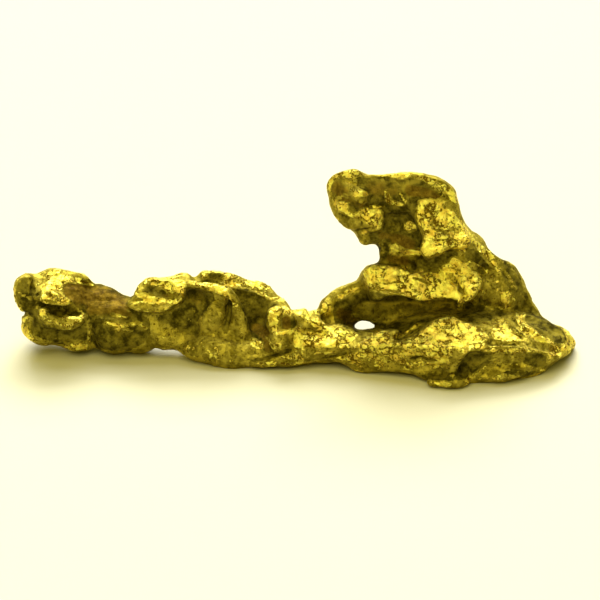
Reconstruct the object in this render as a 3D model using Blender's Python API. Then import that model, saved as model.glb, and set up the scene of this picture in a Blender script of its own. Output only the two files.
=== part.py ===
"""A natural gold nugget: one water-worn lump of folded gold, lying on its worn underside.

Blender 4.5. It builds one closed solid named nugget, in metres, +Z up, +X along the nugget's length.
The nugget is blocked in as plain masses, which a voxel remesh fuses into one skin. Leaves, lips and
bosses are set on that skin, hollows are cut into it, creases are drawn along it, and the result is
thinned to a light mesh.
"""

import math

import bmesh
import bpy
import numpy as np
from mathutils import Matrix, Vector, noise
from mathutils.bvhtree import BVHTree

# Driving dimensions, in millimetres unless a name says otherwise.
METRES_PER_MM = 0.001
SIGHT_DEG = 25.0  # the nugget's show side is looked at from this far above level
FLOOR_RISE = 2.55  # where the floor under the nugget's middle line lies on the rise scale
FOOTPRINT_MIDDLE = Vector((14.68, -1.20, 0.0))  # it becomes the origin
BLOCK_VOXEL = 0.16
SKIN_VOXEL = 0.12
MOST_TRIANGLES = 9600
FAR = 40.0  # further than any part of the nugget is from its middle

SIN, COS = math.sin(math.radians(SIGHT_DEG)), math.cos(math.radians(SIGHT_DEG))
SIGHT = Vector((0.0, COS, -SIN))

# Every form below is given as it is seen on the show side: across to the right and rise up the view,
# then back, its true distance behind the nugget's middle line, which is negative towards the viewer.

# Lumps: (across, rise, back, half width, half depth, half height, turn in degrees)
KNOB_LUMPS = [
    (3.10, 4.40, 0.00, 2.15, 1.70, 1.80, 0),  # the knob's core
    (1.58, 5.30, -0.35, 0.95, 1.10, 0.95, 0),  # upper left lobe
    (2.95, 5.66, 0.10, 1.50, 1.20, 0.74, -4),  # top lobe
    (2.05, 3.50, -0.40, 1.08, 1.25, 0.72, -16),  # lower left lobe
    (3.80, 3.12, -0.30, 1.05, 1.20, 0.70, 0),  # bottom lobe
    (4.85, 4.55, 0.10, 1.60, 1.40, 1.34, -14),
    (5.70, 3.85, -0.30, 1.70, 1.50, 1.50, -12),  # barrel
    (6.85, 3.72, -0.35, 1.30, 1.35, 1.36, 0),  # waist
    (2.60, 4.70, 0.90, 1.50, 1.10, 1.40, 10),  # far side
    (5.20, 4.40, 0.90, 1.50, 0.90, 1.20, -10),
]
FOLD_LUMPS = [
    (10.25, 4.60, -0.05, 3.10, 1.25, 1.25, 0),  # mass behind the leaves
    (11.40, 2.74, -0.90, 2.80, 1.70, 1.06, -6),  # belly under the leaves
    (8.30, 3.50, -0.60, 1.30, 1.20, 0.90, -15),
    (8.00, 4.10, -0.30, 1.40, 1.30, 1.20, 0),
    (10.55, 4.15, -1.15, 0.74, 0.60, 0.92, 0),  # tongue
    (10.60, 5.10, -0.60, 1.10, 0.80, 0.60, 0),  # roof over the tongue
    (11.70, 5.35, 0.20, 1.90, 0.90, 0.75, -8),  # hump
    (13.00, 4.90, 0.10, 1.10, 0.90, 0.85, -15),
    (11.80, 3.70, -0.90, 0.60, 0.80, 0.90, 0),
    (11.60, 4.60, 0.90, 2.20, 1.00, 1.20, 0),  # far side
    (9.15, 6.05, -0.10, 0.45, 0.50, 0.28, 0),  # small bump over the leaf
    (9.70, 5.72, 0.00, 0.45, 0.60, 0.30, 0),
    (13.98, 5.00, -0.20, 0.36, 0.50, 0.20, -10),  # step at the hump's end
    (14.22, 4.52, -0.30, 0.36, 0.50, 0.36, 0),
    (13.05, 3.85, 0.10, 0.95, 0.80, 0.80, 0),
    (9.25, 3.75, -0.85, 0.95, 0.65, 0.55, -20),  # under the leaf
    (12.90, 3.70, -0.55, 0.60, 0.50, 0.40, 0),
]
BAR_LUMPS = [
    (14.50, 2.80, -1.30, 2.20, 1.50, 1.00, 0),
    (16.50, 2.80, -1.50, 2.00, 1.35, 0.92, 0),
    (18.60, 2.55, -1.90, 2.20, 1.35, 0.92, 0),
    (13.95, 3.00, -2.25, 0.60, 0.70, 0.62, 0),  # round knob at the bar's root
    (15.05, 4.22, -1.30, 0.42, 0.55, 0.42, 0),  # broken bits on the bar's top
    (15.70, 3.85, -1.50, 0.55, 0.60, 0.36, -10),
    (15.00, 3.55, -1.90, 0.38, 0.50, 0.30, 0),
    (15.75, 4.15, -0.90, 0.36, 0.50, 0.36, 0),
    (17.20, 3.45, -1.50, 0.80, 0.60, 0.30, -10),
    (16.85, 3.95, -0.20, 0.55, 0.60, 0.50, 0),
    (16.10, 3.95, -0.10, 0.60, 0.60, 0.45, 0),
]
FOOT_LUMPS = [
    (23.60, 3.20, -1.10, 4.30, 2.90, 1.30, 0),  # the foot's core
    (21.20, 2.60, -1.60, 2.60, 2.30, 1.05, 0),
    (25.20, 2.20, -2.30, 2.10, 1.90, 0.80, 0),
    (27.20, 2.85, -1.50, 1.50, 1.30, 0.72, -8),  # tip
    (22.38, 0.96, -4.40, 1.12, 0.60, 0.28, 0),  # crust at the front of the foot
    (24.90, 1.50, -3.50, 1.80, 0.90, 0.45, 4),
    (21.60, 1.38, -3.40, 1.10, 0.75, 0.42, -16),
    (25.00, 3.55, -1.90, 0.55, 0.80, 0.42, 0),
]
FIN_LUMPS = [
    (17.50, 10.30, 0.35, 1.05, 1.20, 1.05, 0),  # beak
    (17.55, 9.30, 0.20, 0.90, 1.10, 0.62, -25),
    (18.50, 9.10, 0.05, 0.80, 0.90, 0.62, 0),  # chin
    (18.30, 8.25, 0.60, 0.48, 0.95, 0.36, 0),  # little boss under the chin
    (20.40, 10.30, 0.85, 2.10, 1.30, 0.98, -4),  # crown
    (21.90, 9.70, 0.60, 0.90, 1.20, 0.95, 0),
    (23.10, 7.30, 0.30, 1.25, 1.35, 1.20, 0),
    (24.70, 5.60, 0.50, 1.80, 1.30, 1.50, -35),  # shoulder
    (19.20, 6.00, 0.00, 1.20, 1.00, 0.70, 0),
    (17.10, 4.95, 0.30, 1.25, 0.85, 0.62, 36),  # bridge down to the bar
    (16.35, 4.62, -0.10, 0.42, 0.60, 0.42, 0),  # its bright end
    (20.70, 8.70, 1.20, 1.70, 0.90, 1.60, 0),  # far side
    (23.00, 6.40, 1.20, 2.20, 1.10, 1.50, -30),
    (21.60, 6.95, -0.35, 1.10, 0.55, 0.35, 0),  # under the cheek
    (19.00, 10.20, 1.10, 1.60, 0.80, 0.80, 0),
    (21.60, 5.60, 1.30, 2.20, 1.00, 1.20, 0),
    (24.60, 4.60, 1.20, 1.90, 1.20, 1.00, -20),
    (20.00, 4.60, 1.20, 1.30, 0.90, 0.80, 10),
]

# Ridges: points of (across, rise, back, radius) along a smooth curve that thins at both ends
RIDGES = [
    [(1.6, 6.1, 0.1, 0.24), (2.6, 6.25, 0.1, 0.26), (3.6, 6.2, 0.2, 0.26), (4.9, 5.8, 0.2, 0.26)],
    # the hump behind the leaves
    [
        (9.9, 5.75, 0.2, 0.28),
        (10.45, 6.18, 0.25, 0.42),
        (11.4, 6.04, 0.25, 0.40),
        (12.3, 5.68, 0.2, 0.38),
        (13.1, 5.54, 0.15, 0.40),
        (13.8, 5.30, 0.1, 0.36),
    ],
    # the arch, the rolled rim of the curled leaf
    [
        (8.9, 5.80, -0.5, 0.28),
        (10.0, 5.72, -0.9, 0.30),
        (10.65, 5.58, -1.1, 0.34),
        (11.25, 5.34, -1.3, 0.36),
        (11.72, 4.95, -1.4, 0.36),
        (12.00, 4.30, -1.5, 0.36),
        (12.16, 3.60, -1.6, 0.36),
        (12.20, 2.90, -1.6, 0.36),
    ],
    # the lip along the bar's bottom edge
    [(11.8, 1.95, -2.2, 0.26), (13.5, 1.95, -2.45, 0.3), (15.0, 2.0, -2.55, 0.3), (17.0, 2.3, -2.6, 0.26)],
]

# Slabs: outlines in the view, cut along the line of sight, each with the backs of its shaped face and of
# its plain one, and the shaped face's lean (back for each mm of rise) and swing (back for each mm across).
FIN = [
    (16.26, 10.50), (16.36, 10.95), (16.78, 11.32), (17.40, 11.48), (17.95, 11.43), (18.30, 11.22),
    (19.00, 11.25), (19.60, 11.40), (20.40, 11.38), (21.20, 11.22), (22.10, 10.92), (22.68, 10.50),
    (22.95, 9.95), (23.04, 9.35), (23.18, 8.90), (23.48, 8.45), (23.70, 8.00), (24.20, 7.70),
    (24.70, 7.20), (25.30, 6.80), (25.75, 6.40), (26.10, 5.85), (26.50, 5.35), (26.80, 4.75),
    (27.05, 4.15), (26.60, 3.20), (19.50, 3.20), (18.90, 3.20), (18.00, 3.20), (17.20, 3.25),
    (16.50, 3.60), (15.80, 4.45), (16.00, 4.65), (16.35, 5.00), (16.65, 5.35),
    (17.05, 5.60), (17.50, 5.85), (18.00, 5.95), (18.00, 6.20), (18.20, 6.50), (18.60, 6.65),
    (19.05, 6.80), (19.08, 7.40), (19.00, 7.82), (18.60, 7.85), (18.10, 7.85), (17.85, 8.05),
    (17.80, 8.35), (17.60, 8.45), (17.30, 8.70), (16.95, 8.95), (16.70, 9.25), (16.50, 9.65),
    (16.38, 10.00),
]
CHEEK = [
    (20.72, 9.88), (21.60, 10.08), (22.25, 9.85), (22.70, 9.55), (22.90, 9.05), (23.30, 8.60),
    (23.60, 8.05), (23.50, 7.65), (23.05, 7.42), (22.50, 7.48), (22.00, 7.25), (21.35, 7.02),
    (20.92, 7.45), (21.12, 8.05), (20.85, 8.60), (20.65, 9.10),
]
BROW = [
    (18.10, 6.25), (18.42, 6.62), (19.25, 6.75), (20.00, 6.62), (20.60, 6.45), (21.00, 6.52),
    (22.00, 6.50), (22.40, 6.70), (23.10, 6.62), (23.80, 6.35), (24.10, 6.00), (23.95, 5.60),
    (23.60, 5.05), (23.10, 4.82), (22.60, 5.02), (21.90, 5.06), (21.20, 4.96), (20.40, 5.12),
    (19.60, 5.20), (19.00, 4.92), (18.55, 4.98), (18.35, 5.50),
]
LEAF = [
    (6.35, 4.80), (6.65, 5.10), (6.85, 5.55), (7.15, 5.85), (7.50, 6.05), (8.25, 6.10), (8.90, 6.12),
    (9.35, 5.95), (9.35, 5.50), (9.25, 5.05), (9.00, 4.75), (8.55, 4.50), (8.00, 4.33), (7.50, 4.35),
    (7.00, 4.55),
]
LEFT_LOBE = [
    (0.66, 5.60), (0.88, 6.05), (1.40, 6.36), (1.72, 6.15), (1.62, 5.60), (1.74, 5.00), (1.56, 4.50),
    (1.27, 4.32), (0.95, 4.62), (0.70, 5.10),
]
UPPER_LIP = [
    (2.00, 5.43), (2.20, 5.56), (2.53, 5.43), (2.87, 5.23), (3.47, 4.92), (3.53, 4.80), (3.27, 4.73),
    (2.67, 4.83), (2.02, 4.93),
]
LOWER_LIP = [
    (2.00, 4.50), (2.20, 4.58), (2.45, 4.57), (2.65, 4.32), (3.05, 4.14), (3.75, 4.19), (4.27, 4.25),
    (4.27, 4.02), (3.80, 3.74), (3.40, 3.60), (2.85, 3.75), (2.25, 4.05), (2.00, 4.25),
]
BLOCK = [
    (13.38, 3.60), (13.36, 4.20), (13.52, 4.52), (13.95, 4.72), (14.35, 4.68), (14.60, 4.40),
    (14.80, 4.00), (14.75, 3.50), (14.25, 3.40), (13.75, 3.45),
]
BAR_TOP = [
    (14.60, 2.95), (15.20, 3.25), (15.90, 3.50), (16.70, 3.72), (17.40, 3.72), (17.90, 3.40),
    (18.30, 2.95), (18.00, 2.70), (17.00, 2.60), (15.80, 2.75),
]
FOOT_FRONT = [
    (17.60, 2.70), (19.00, 2.80), (20.00, 2.85), (21.50, 2.75), (23.30, 2.55), (23.30, 1.30),
    (22.90, 0.95), (22.30, 0.82), (21.70, 0.95), (21.00, 1.18), (20.30, 1.36), (19.00, 1.45),
    (17.60, 1.55),
]
FOOT_SIDE = [
    (22.30, 2.60), (23.50, 2.60), (25.00, 2.70), (26.50, 2.60), (27.60, 2.40), (28.20, 2.20),
    (27.40, 1.70), (26.90, 1.30), (25.80, 1.00), (24.60, 0.90), (23.30, 0.90), (22.40, 1.20),
]
TABLE = [
    (19.90, 2.78), (20.60, 3.20), (21.20, 3.62), (21.75, 4.05), (22.40, 4.18), (23.20, 3.95),
    (23.95, 3.52), (24.40, 3.12), (24.10, 2.72), (23.00, 2.55), (21.50, 2.66),
]
SMALL_TABLE = [
    (17.80, 2.72), (18.30, 3.00), (19.00, 3.36), (19.60, 3.52), (20.00, 3.45), (19.60, 3.10),
    (19.45, 2.75),
]
SIDE_TABLE = [
    (24.45, 2.60), (24.35, 3.20), (24.65, 3.60), (25.10, 3.68), (25.50, 3.30), (26.10, 3.00),
    (26.30, 2.65), (25.40, 2.50),
]
TIP_SLOPE = [
    (26.00, 4.35), (27.05, 4.15), (27.60, 3.78), (28.20, 3.50), (28.60, 3.10), (28.75, 2.75),
    (28.50, 2.45), (27.90, 2.35), (27.20, 2.80), (26.50, 3.20), (26.00, 3.70),
]
SLABS = [
    (FIN, -0.10, 1.25, 0.0, 0.0),
    (CHEEK, -1.00, 0.60, 0.55, 0.10),
    (BROW, -1.65, 0.60, 0.85, 0.05),
    (LEAF, -1.55, 0.30, 0.55, 0.0),
    (LEFT_LOBE, -1.42, 0.00, 0.10, -0.45),
    (UPPER_LIP, -1.95, -0.60, 0.75, -0.10),
    (LOWER_LIP, -2.20, -0.60, 0.75, 0.10),
    (BLOCK, -2.20, -0.40, 0.30, -0.3),
    (BAR_TOP, -2.45, -0.80, 1.05, -0.10),
    (FOOT_FRONT, -3.90, -0.60, -0.40, -0.30),
    (FOOT_SIDE, -3.90, 0.60, -0.30, 0.25),
    (TABLE, -3.50, 0.50, 1.05, -0.15),
    (SMALL_TABLE, -3.20, -0.80, 1.05, -0.20),
    (SIDE_TABLE, -3.40, -0.80, 1.05, 0.10),
    (TIP_SLOPE, -1.30, 0.60, 0.40, 0.10),
]

# Hollows, cut along the line of sight. The long one under the brow is a slab.
LONG_HOLLOW = [
    (16.75, 5.00), (17.60, 5.05), (18.50, 4.86), (19.60, 4.96), (20.40, 5.00), (21.20, 4.92),
    (22.00, 4.96), (22.90, 4.75), (24.00, 4.50), (25.00, 4.12), (23.90, 4.00), (22.75, 4.30),
    (22.00, 4.22), (21.25, 3.92), (20.50, 3.70), (19.00, 3.50), (17.60, 3.72), (16.80, 4.15),
]
SCOOP = [
    (23.05, 2.10), (23.45, 2.40), (23.95, 2.47), (24.40, 2.30), (24.85, 2.05), (24.40, 1.85),
    (23.85, 1.50), (23.35, 1.15), (23.00, 1.08), (22.70, 1.15), (22.85, 1.60),
]
HOLE = [
    (17.66, 3.58), (17.98, 3.86), (18.50, 3.92), (18.74, 3.80), (18.90, 3.58), (18.35, 3.54),
]
HOLLOW_SLABS = [
    (HOLE, 6.00, -6.00, 0.0, 0.0),
    (LONG_HOLLOW, -1.85, -4.50, 0.25, 0.0),
    (SCOOP, -3.95, -6.00, -0.50, 0.0),
]
HOLLOWS = [
    (12.72, 4.50, -1.60, 0.50, 0.60, 0.70, 0),  # recess right of the arch
    (9.55, 4.55, -1.55, 0.42, 0.50, 0.66, 10),  # recess between the leaf and the tongue
    (1.05, 4.33, -0.50, 0.45, 2.40, 0.12, 0),  # notch between the knob's lobes
    (20.10, 7.25, -0.45, 0.80, 0.26, 0.40, 0),  # throat
    (19.75, 8.60, -0.30, 0.80, 0.30, 0.80, 0),
]

# Lines drawn on the skin of the show side: points of (across, rise), half width, height. A line with a
# negative height is a crease.
LINES = [
    # knob: groove beside the left lobe, then the two curled lips and the dark pockets under them
    ([(1.75, 5.90), (1.80, 5.30), (1.72, 4.60)], 0.20, -0.28),
    ([(2.00, 4.86), (2.80, 4.76), (3.60, 4.64)], 0.13, -0.24),
    ([(2.30, 5.55), (2.70, 5.30), (3.20, 5.02), (3.65, 4.86)], 0.17, 0.16),
    ([(2.05, 4.30), (2.30, 3.95), (2.80, 3.70), (3.35, 3.60), (3.95, 3.76), (4.30, 4.12)], 0.17, 0.24),
    ([(2.45, 4.42), (3.20, 4.34), (3.95, 4.40)], 0.15, -0.22),
    ([(2.00, 3.45), (2.80, 3.20), (3.70, 3.25)], 0.26, -0.22),
    ([(3.20, 5.84), (4.10, 5.78), (5.00, 5.62)], 0.13, -0.12),
    ([(4.62, 3.90), (4.60, 3.30), (4.66, 2.60)], 0.14, -0.22),
    ([(1.35, 5.20), (1.40, 4.80), (1.50, 4.50)], 0.15, -0.14),
    # barrel: the edge between its upper and lower faces
    ([(4.90, 4.62), (5.80, 4.56), (6.80, 4.36)], 0.20, 0.12),
    ([(5.20, 3.20), (6.20, 3.25), (7.10, 3.20)], 0.20, -0.14),
    # leaf: streak along its middle and its hanging lip
    ([(7.10, 5.72), (7.70, 5.52), (8.35, 5.28), (8.90, 5.24)], 0.17, -0.18),
    ([(6.45, 4.78), (7.00, 4.56), (7.70, 4.42), (8.40, 4.54), (8.95, 4.90), (9.22, 5.45)], 0.12, 0.10),
    # the seams on either side of the tongue
    ([(10.90, 5.16), (11.36, 4.88), (11.44, 4.30), (11.36, 3.60)], 0.13, -0.30),
    ([(9.30, 5.50), (9.80, 5.30), (10.20, 4.86), (9.90, 4.20), (9.60, 3.50)], 0.20, -0.22),
    # lines over the belly
    ([(8.20, 3.60), (9.20, 3.45), (9.90, 3.55)], 0.20, -0.20),
    ([(11.00, 3.20), (12.00, 3.00), (13.00, 3.15)], 0.16, -0.16),
    ([(13.42, 3.30), (13.35, 2.80), (13.60, 2.35)], 0.16, -0.26),
    # crevice over the bar's lip
    ([(12.60, 2.00), (13.40, 2.12), (14.20, 2.38), (15.00, 2.60)], 0.13, -0.22),
    ([(15.20, 1.95), (16.20, 2.10), (17.20, 2.34), (18.00, 2.50)], 0.13, -0.16),
    ([(15.20, 3.50), (15.80, 3.42), (16.40, 3.36)], 0.13, -0.20),
    # beak
    ([(16.60, 10.15), (17.20, 10.05), (17.80, 10.25)], 0.20, -0.20),
    ([(17.60, 10.32), (18.10, 10.42), (18.60, 10.60)], 0.14, 0.16),
    ([(17.00, 9.50), (17.50, 9.25), (17.80, 9.12)], 0.15, 0.14),
    ([(17.60, 9.70), (18.40, 9.66), (19.30, 9.72), (20.20, 9.70)], 0.18, -0.18),
    ([(17.70, 8.52), (18.40, 8.48), (18.95, 8.60)], 0.15, -0.22),
    ([(18.20, 9.45), (18.70, 9.55), (19.10, 9.38)], 0.18, 0.16),
    ([(19.30, 10.35), (19.40, 9.90), (20.00, 9.70), (20.30, 9.95)], 0.14, 0.15),
    # the recess between the chin and the cheek
    ([(19.30, 9.30), (19.70, 8.70), (20.00, 8.00), (20.60, 7.50)], 0.38, -0.20),
    ([(20.75, 9.90), (20.80, 9.20), (20.95, 8.50), (21.00, 7.90)], 0.18, -0.24),
    ([(19.70, 7.15), (20.60, 7.35), (21.60, 7.15), (22.20, 7.05)], 0.20, -0.16),
    ([(20.00, 7.42), (20.60, 7.52), (21.10, 7.40)], 0.11, 0.16),
    # cheek and the crown above it
    ([(21.50, 10.45), (22.10, 10.20), (22.60, 10.00)], 0.13, -0.18),
    ([(21.40, 9.00), (22.00, 8.60), (22.60, 8.55), (23.20, 8.30)], 0.16, -0.16),
    # brow
    ([(20.15, 6.25), (20.70, 6.45), (21.50, 6.60)], 0.14, -0.16),
    ([(22.40, 6.50), (22.80, 5.90), (23.10, 5.30), (23.35, 4.95)], 0.14, -0.22),
    ([(18.40, 5.95), (19.20, 5.75), (20.00, 5.50)], 0.15, -0.14),
    ([(23.40, 7.05), (24.10, 6.60), (24.80, 5.95)], 0.16, -0.20),
    ([(24.20, 6.90), (25.00, 6.40), (25.60, 5.60)], 0.18, 0.14),
    # the foot: ridges that run down to the tip
    ([(25.70, 4.40), (26.20, 3.70), (26.90, 3.20), (27.60, 2.75)], 0.18, 0.20),
    ([(24.50, 3.60), (25.10, 3.70), (25.60, 3.35), (26.10, 3.10)], 0.15, -0.20),
    ([(24.20, 2.85), (25.20, 2.75), (26.30, 2.85)], 0.15, -0.18),
    ([(19.45, 2.86), (20.10, 3.22), (20.70, 3.62), (20.95, 3.95)], 0.14, 0.16),
    ([(22.10, 0.95), (22.80, 1.25), (23.40, 1.65), (24.10, 1.95)], 0.16, 0.22),
    ([(20.40, 1.98), (21.10, 2.05), (21.80, 1.80)], 0.15, -0.18),
    ([(24.60, 1.75), (25.50, 1.70), (26.40, 1.85)], 0.17, -0.22),
]

# Lines on the far side and the top: points of (across, height over the floor), half width, height
FAR_LINES = [
    ([(2.0, 3.6), (3.0, 3.2), (3.8, 3.4)], 0.25, -0.25),
    ([(4.6, 1.2), (6.2, 1.5), (8.4, 1.3)], 0.30, -0.25),
    ([(9.0, 2.6), (10.6, 3.1), (12.4, 2.7)], 0.26, 0.25),
    ([(12.6, 1.5), (15.0, 1.1), (17.6, 1.4)], 0.30, -0.25),
    ([(18.2, 7.8), (20.0, 7.2), (21.8, 7.6)], 0.30, -0.30),
    ([(19.6, 6.2), (21.2, 5.6), (22.8, 5.8), (24.0, 4.9)], 0.34, 0.28),
    ([(21.0, 4.2), (22.6, 3.6), (24.4, 3.2), (26.0, 2.2)], 0.30, -0.30),
    ([(19.0, 3.2), (20.2, 2.0), (22.4, 1.4), (24.8, 1.2)], 0.30, -0.28),
]

DENTS = 260  # hollows knocked into the whole skin by pebbles
DENT_RADIUS = (0.40, 1.20)
DENT_DEPTH = (0.02, 0.09)
WEAR_SEED = 7
# The broad unevenness of the whole skin: (size of its lumps, height)
GRAIN = [(2.2, 0.16), (0.9, 0.10)]


def place(across, rise, back):
    """The point of the nugget that is seen at (across, rise) and lies that far back."""
    return Vector((across, back, (rise - FLOOR_RISE - back * SIN) / COS))


def rounded_path(points, steps, closed):
    """A Catmull-Rom curve through the points, with that many steps between neighbours."""
    points = [np.array(p, float) for p in points]
    count = len(points)
    path = []
    for i in range(count if closed else count - 1):
        if closed:
            a, b, c, d = (points[(i + k - 1) % count] for k in range(4))
        else:
            a, b, c, d = (points[min(max(i + k - 1, 0), count - 1)] for k in range(4))
        for step in range(steps):
            t = step / steps
            path.append(0.5 * (2 * b + (c - a) * t + (2 * a - 5 * b + 4 * c - d) * t**2
                               + (3 * b - a - 3 * c + d) * t**3))
    if not closed:
        path.append(points[-1])
    return path


def add_lump(clay, across, rise, back, wide, deep, tall, turn, along_sight=False):
    """An egg-shaped lump, turned anticlockwise in the view."""
    tilt = Matrix.Rotation(-math.radians(SIGHT_DEG), 4, "X") if along_sight else Matrix.Identity(4)
    matrix = (
        Matrix.Translation(place(across, rise, back))
        @ tilt
        @ Matrix.Rotation(-math.radians(turn), 4, "Y")
        @ Matrix.Diagonal((wide, deep, tall, 1.0))
    )
    bmesh.ops.create_icosphere(clay, subdivisions=4, radius=1.0, matrix=matrix)


def add_slab(clay, outline, face, rest, lean, swing):
    """A plate with that outline in the view, cut along the line of sight, between a shaped face and a
    plain one. The shaped face leans back by lean for each millimetre of rise, and swings back by swing for
    each millimetre across."""
    path = rounded_path(outline, 3, closed=True)
    middle = np.mean(path, axis=0)
    shaped, plain = [], []
    for across, rise in path:
        back = face + lean * (rise - middle[1]) + swing * (across - middle[0])
        shaped.append(clay.verts.new(place(across, rise, back)))
        plain.append(clay.verts.new(place(across, rise, rest)))
    near, far = (shaped, plain) if face < rest else (plain, shaped)
    clay.faces.new(near)
    clay.faces.new(reversed(far))
    for i in range(len(near)):
        j = (i + 1) % len(near)
        clay.faces.new((near[j], near[i], far[i], far[j]))


def add_ridges(clay, ridges):
    """Round ridges of changing thickness: one bevelled curve, with a spline for each ridge."""
    curve = bpy.data.curves.new("ridges", "CURVE")
    curve.dimensions = "3D"
    curve.bevel_depth = 1.0
    curve.bevel_resolution = 2
    curve.use_fill_caps = True
    for ridge in ridges:
        path = rounded_path(ridge, 5, closed=False)
        spline = curve.splines.new("POLY")
        spline.points.add(len(path) - 1)
        for i, (point, (across, rise, back, radius)) in enumerate(zip(spline.points, path)):
            point.co = (*place(across, rise, back), 1.0)
            point.radius = radius * min(1.0, 0.3 + 0.25 * min(i, len(path) - 1 - i))
    helper = bpy.data.objects.new("ridges", curve)
    bpy.context.scene.collection.objects.link(helper)
    graph = bpy.context.evaluated_depsgraph_get()
    clay.from_mesh(bpy.data.meshes.new_from_object(helper.evaluated_get(graph)))
    bpy.data.objects.remove(helper)


def evaluated(mesh, set_modifiers):
    """The mesh after the modifiers that set_modifiers puts on an object of it."""
    helper = bpy.data.objects.new("helper", mesh)
    bpy.context.scene.collection.objects.link(helper)
    set_modifiers(helper)
    graph = bpy.context.evaluated_depsgraph_get()
    result = bpy.data.meshes.new_from_object(helper.evaluated_get(graph))
    bpy.data.objects.remove(helper)
    return result


def fused(mesh, voxel, smoothings=0):
    """One skin over every shell in the mesh, with its sharp edges eased."""

    def set_modifiers(helper):
        remesh = helper.modifiers.new("fuse", "REMESH")
        remesh.mode = "VOXEL"
        remesh.voxel_size = voxel
        if smoothings:
            smooth = helper.modifiers.new("ease", "SMOOTH")
            smooth.factor = 0.5
            smooth.iterations = smoothings

    return evaluated(mesh, set_modifiers)


def mesh_of(clay):
    mesh = bpy.data.meshes.new("clay")
    clay.to_mesh(mesh)
    clay.free()
    return mesh


def cut(mesh, cutter_mesh):
    """The mesh with the cutter's volume taken out of it."""
    cutter = bpy.data.objects.new("cutter", cutter_mesh)
    cutter.hide_render = True
    cutter.display_type = "WIRE"
    bpy.context.scene.collection.objects.link(cutter)

    def set_modifiers(helper):
        boolean = helper.modifiers.new("cut", "BOOLEAN")
        boolean.operation = "DIFFERENCE"
        boolean.object = cutter

    result = evaluated(mesh, set_modifiers)
    bpy.data.objects.remove(cutter)
    return result


def blocked_in():
    """The nugget's masses in one skin, with its hollows cut."""
    clay = bmesh.new()
    for lump in KNOB_LUMPS + FOLD_LUMPS + BAR_LUMPS + FOOT_LUMPS + FIN_LUMPS:
        add_lump(clay, *lump)
    for slab in SLABS:
        add_slab(clay, *slab)
    add_ridges(clay, RIDGES)
    body = fused(mesh_of(clay), BLOCK_VOXEL)
    cutters = bmesh.new()
    for slab in HOLLOW_SLABS:
        add_slab(cutters, *slab)
    for hollow in HOLLOWS:
        add_lump(cutters, *hollow, along_sight=True)
    return cut(body, fused(mesh_of(cutters), BLOCK_VOXEL))


def largest_shell(mesh):
    """The mesh without the small shells that a remesh can leave inside it or beside it."""
    clay = bmesh.new()
    clay.from_mesh(mesh)
    shells, left = [], set(clay.verts)
    while left:
        shell, edge = set(), [left.pop()]
        while edge:
            vert = edge.pop()
            shell.add(vert)
            for side in vert.link_edges:
                other = side.other_vert(vert)
                if other in left:
                    left.remove(other)
                    edge.append(other)
        shells.append(shell)
    shells.sort(key=len)
    bmesh.ops.delete(clay, geom=[vert for shell in shells[:-1] for vert in shell], context="VERTS")
    return mesh_of(clay)


def positions(mesh):
    flat = np.empty(len(mesh.vertices) * 3, np.float32)
    mesh.vertices.foreach_get("co", flat)
    return flat.reshape(-1, 3).astype(float)


def set_positions(mesh, points):
    mesh.vertices.foreach_set("co", points.astype(np.float32).ravel())
    mesh.update()


def normals(mesh):
    flat = np.empty(len(mesh.vertices) * 3, np.float32)
    mesh.vertex_normals.foreach_get("vector", flat)
    return flat.reshape(-1, 3).astype(float)


def skin_tree(mesh):
    return BVHTree.FromPolygons([v.co for v in mesh.vertices], [p.vertices for p in mesh.polygons])


def on_show_side(tree, across, rise):
    """The skin's point that is seen at (across, rise), and its normal."""
    return tree.ray_cast(place(across, rise, -FAR), SIGHT)[:2]


def on_far_side(tree, across, height):
    return tree.ray_cast(Vector((across, FAR, height)), Vector((0.0, -1.0, 0.0)))[:2]


def draw_lines(mesh, lines, find):
    """Raises a ridge, or sinks a crease, along each line. It fades out at both of the line's ends."""
    tree = skin_tree(mesh)
    points, outward = positions(mesh), normals(mesh)
    for line, width, height in lines:
        path = rounded_path(line, 12, closed=False)
        moved = np.zeros(len(points))
        for i, (across, rise) in enumerate(path):
            spot, normal = find(tree, across, rise)
            if spot is None:
                continue
            fade = min(1.0, 4.0 * min(i + 1, len(path) - i) / len(path))
            offset = points - np.array(spot)
            near = np.einsum("ij,ij->i", offset, offset) / width**2
            strength = fade * np.exp(-near) * (outward @ np.array(normal) > 0.0)
            moved = np.maximum(moved, strength)
        points += outward * (height * moved)[:, None]
    set_positions(mesh, points)


def knock_dents(mesh, count, radii, depths, seed):
    """Presses round stones of random size into the skin, which leaves hollows with crisp rims."""
    tree = skin_tree(mesh)
    points = positions(mesh)
    low, high = points.min(axis=0), points.max(axis=0)
    draw = np.random.default_rng(seed)
    for _ in range(count):
        spot, normal = tree.find_nearest(Vector(draw.uniform(low, high)))[:2]
        radius, depth = draw.uniform(*radii), draw.uniform(*depths)
        stone = np.array(spot + normal * (radius - depth))
        offset = points - stone
        reach = np.linalg.norm(offset, axis=1)
        if reach.min() < radius - 1.5 * depth:
            continue  # the skin is hollow there, so that stone can't get in
        inside = reach < radius
        points[inside] = stone + offset[inside] * (radius / reach[inside])[:, None]
    set_positions(mesh, points)


def roughen(mesh, layers):
    """Moves the skin in and out by noise. Each layer is (size of its lumps, height)."""
    points, outward = positions(mesh), normals(mesh)
    moved = np.zeros(len(points))
    for size, height in layers:
        for i, point in enumerate(points):
            moved[i] += height * noise.noise(Vector(point) / size)
    set_positions(mesh, points + outward * moved[:, None])


def thinned(mesh):
    def set_modifiers(helper):
        decimate = helper.modifiers.new("thin", "DECIMATE")
        decimate.ratio = MOST_TRIANGLES / sum(len(p.vertices) - 2 for p in mesh.polygons)

    return evaluated(mesh, set_modifiers)


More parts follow.
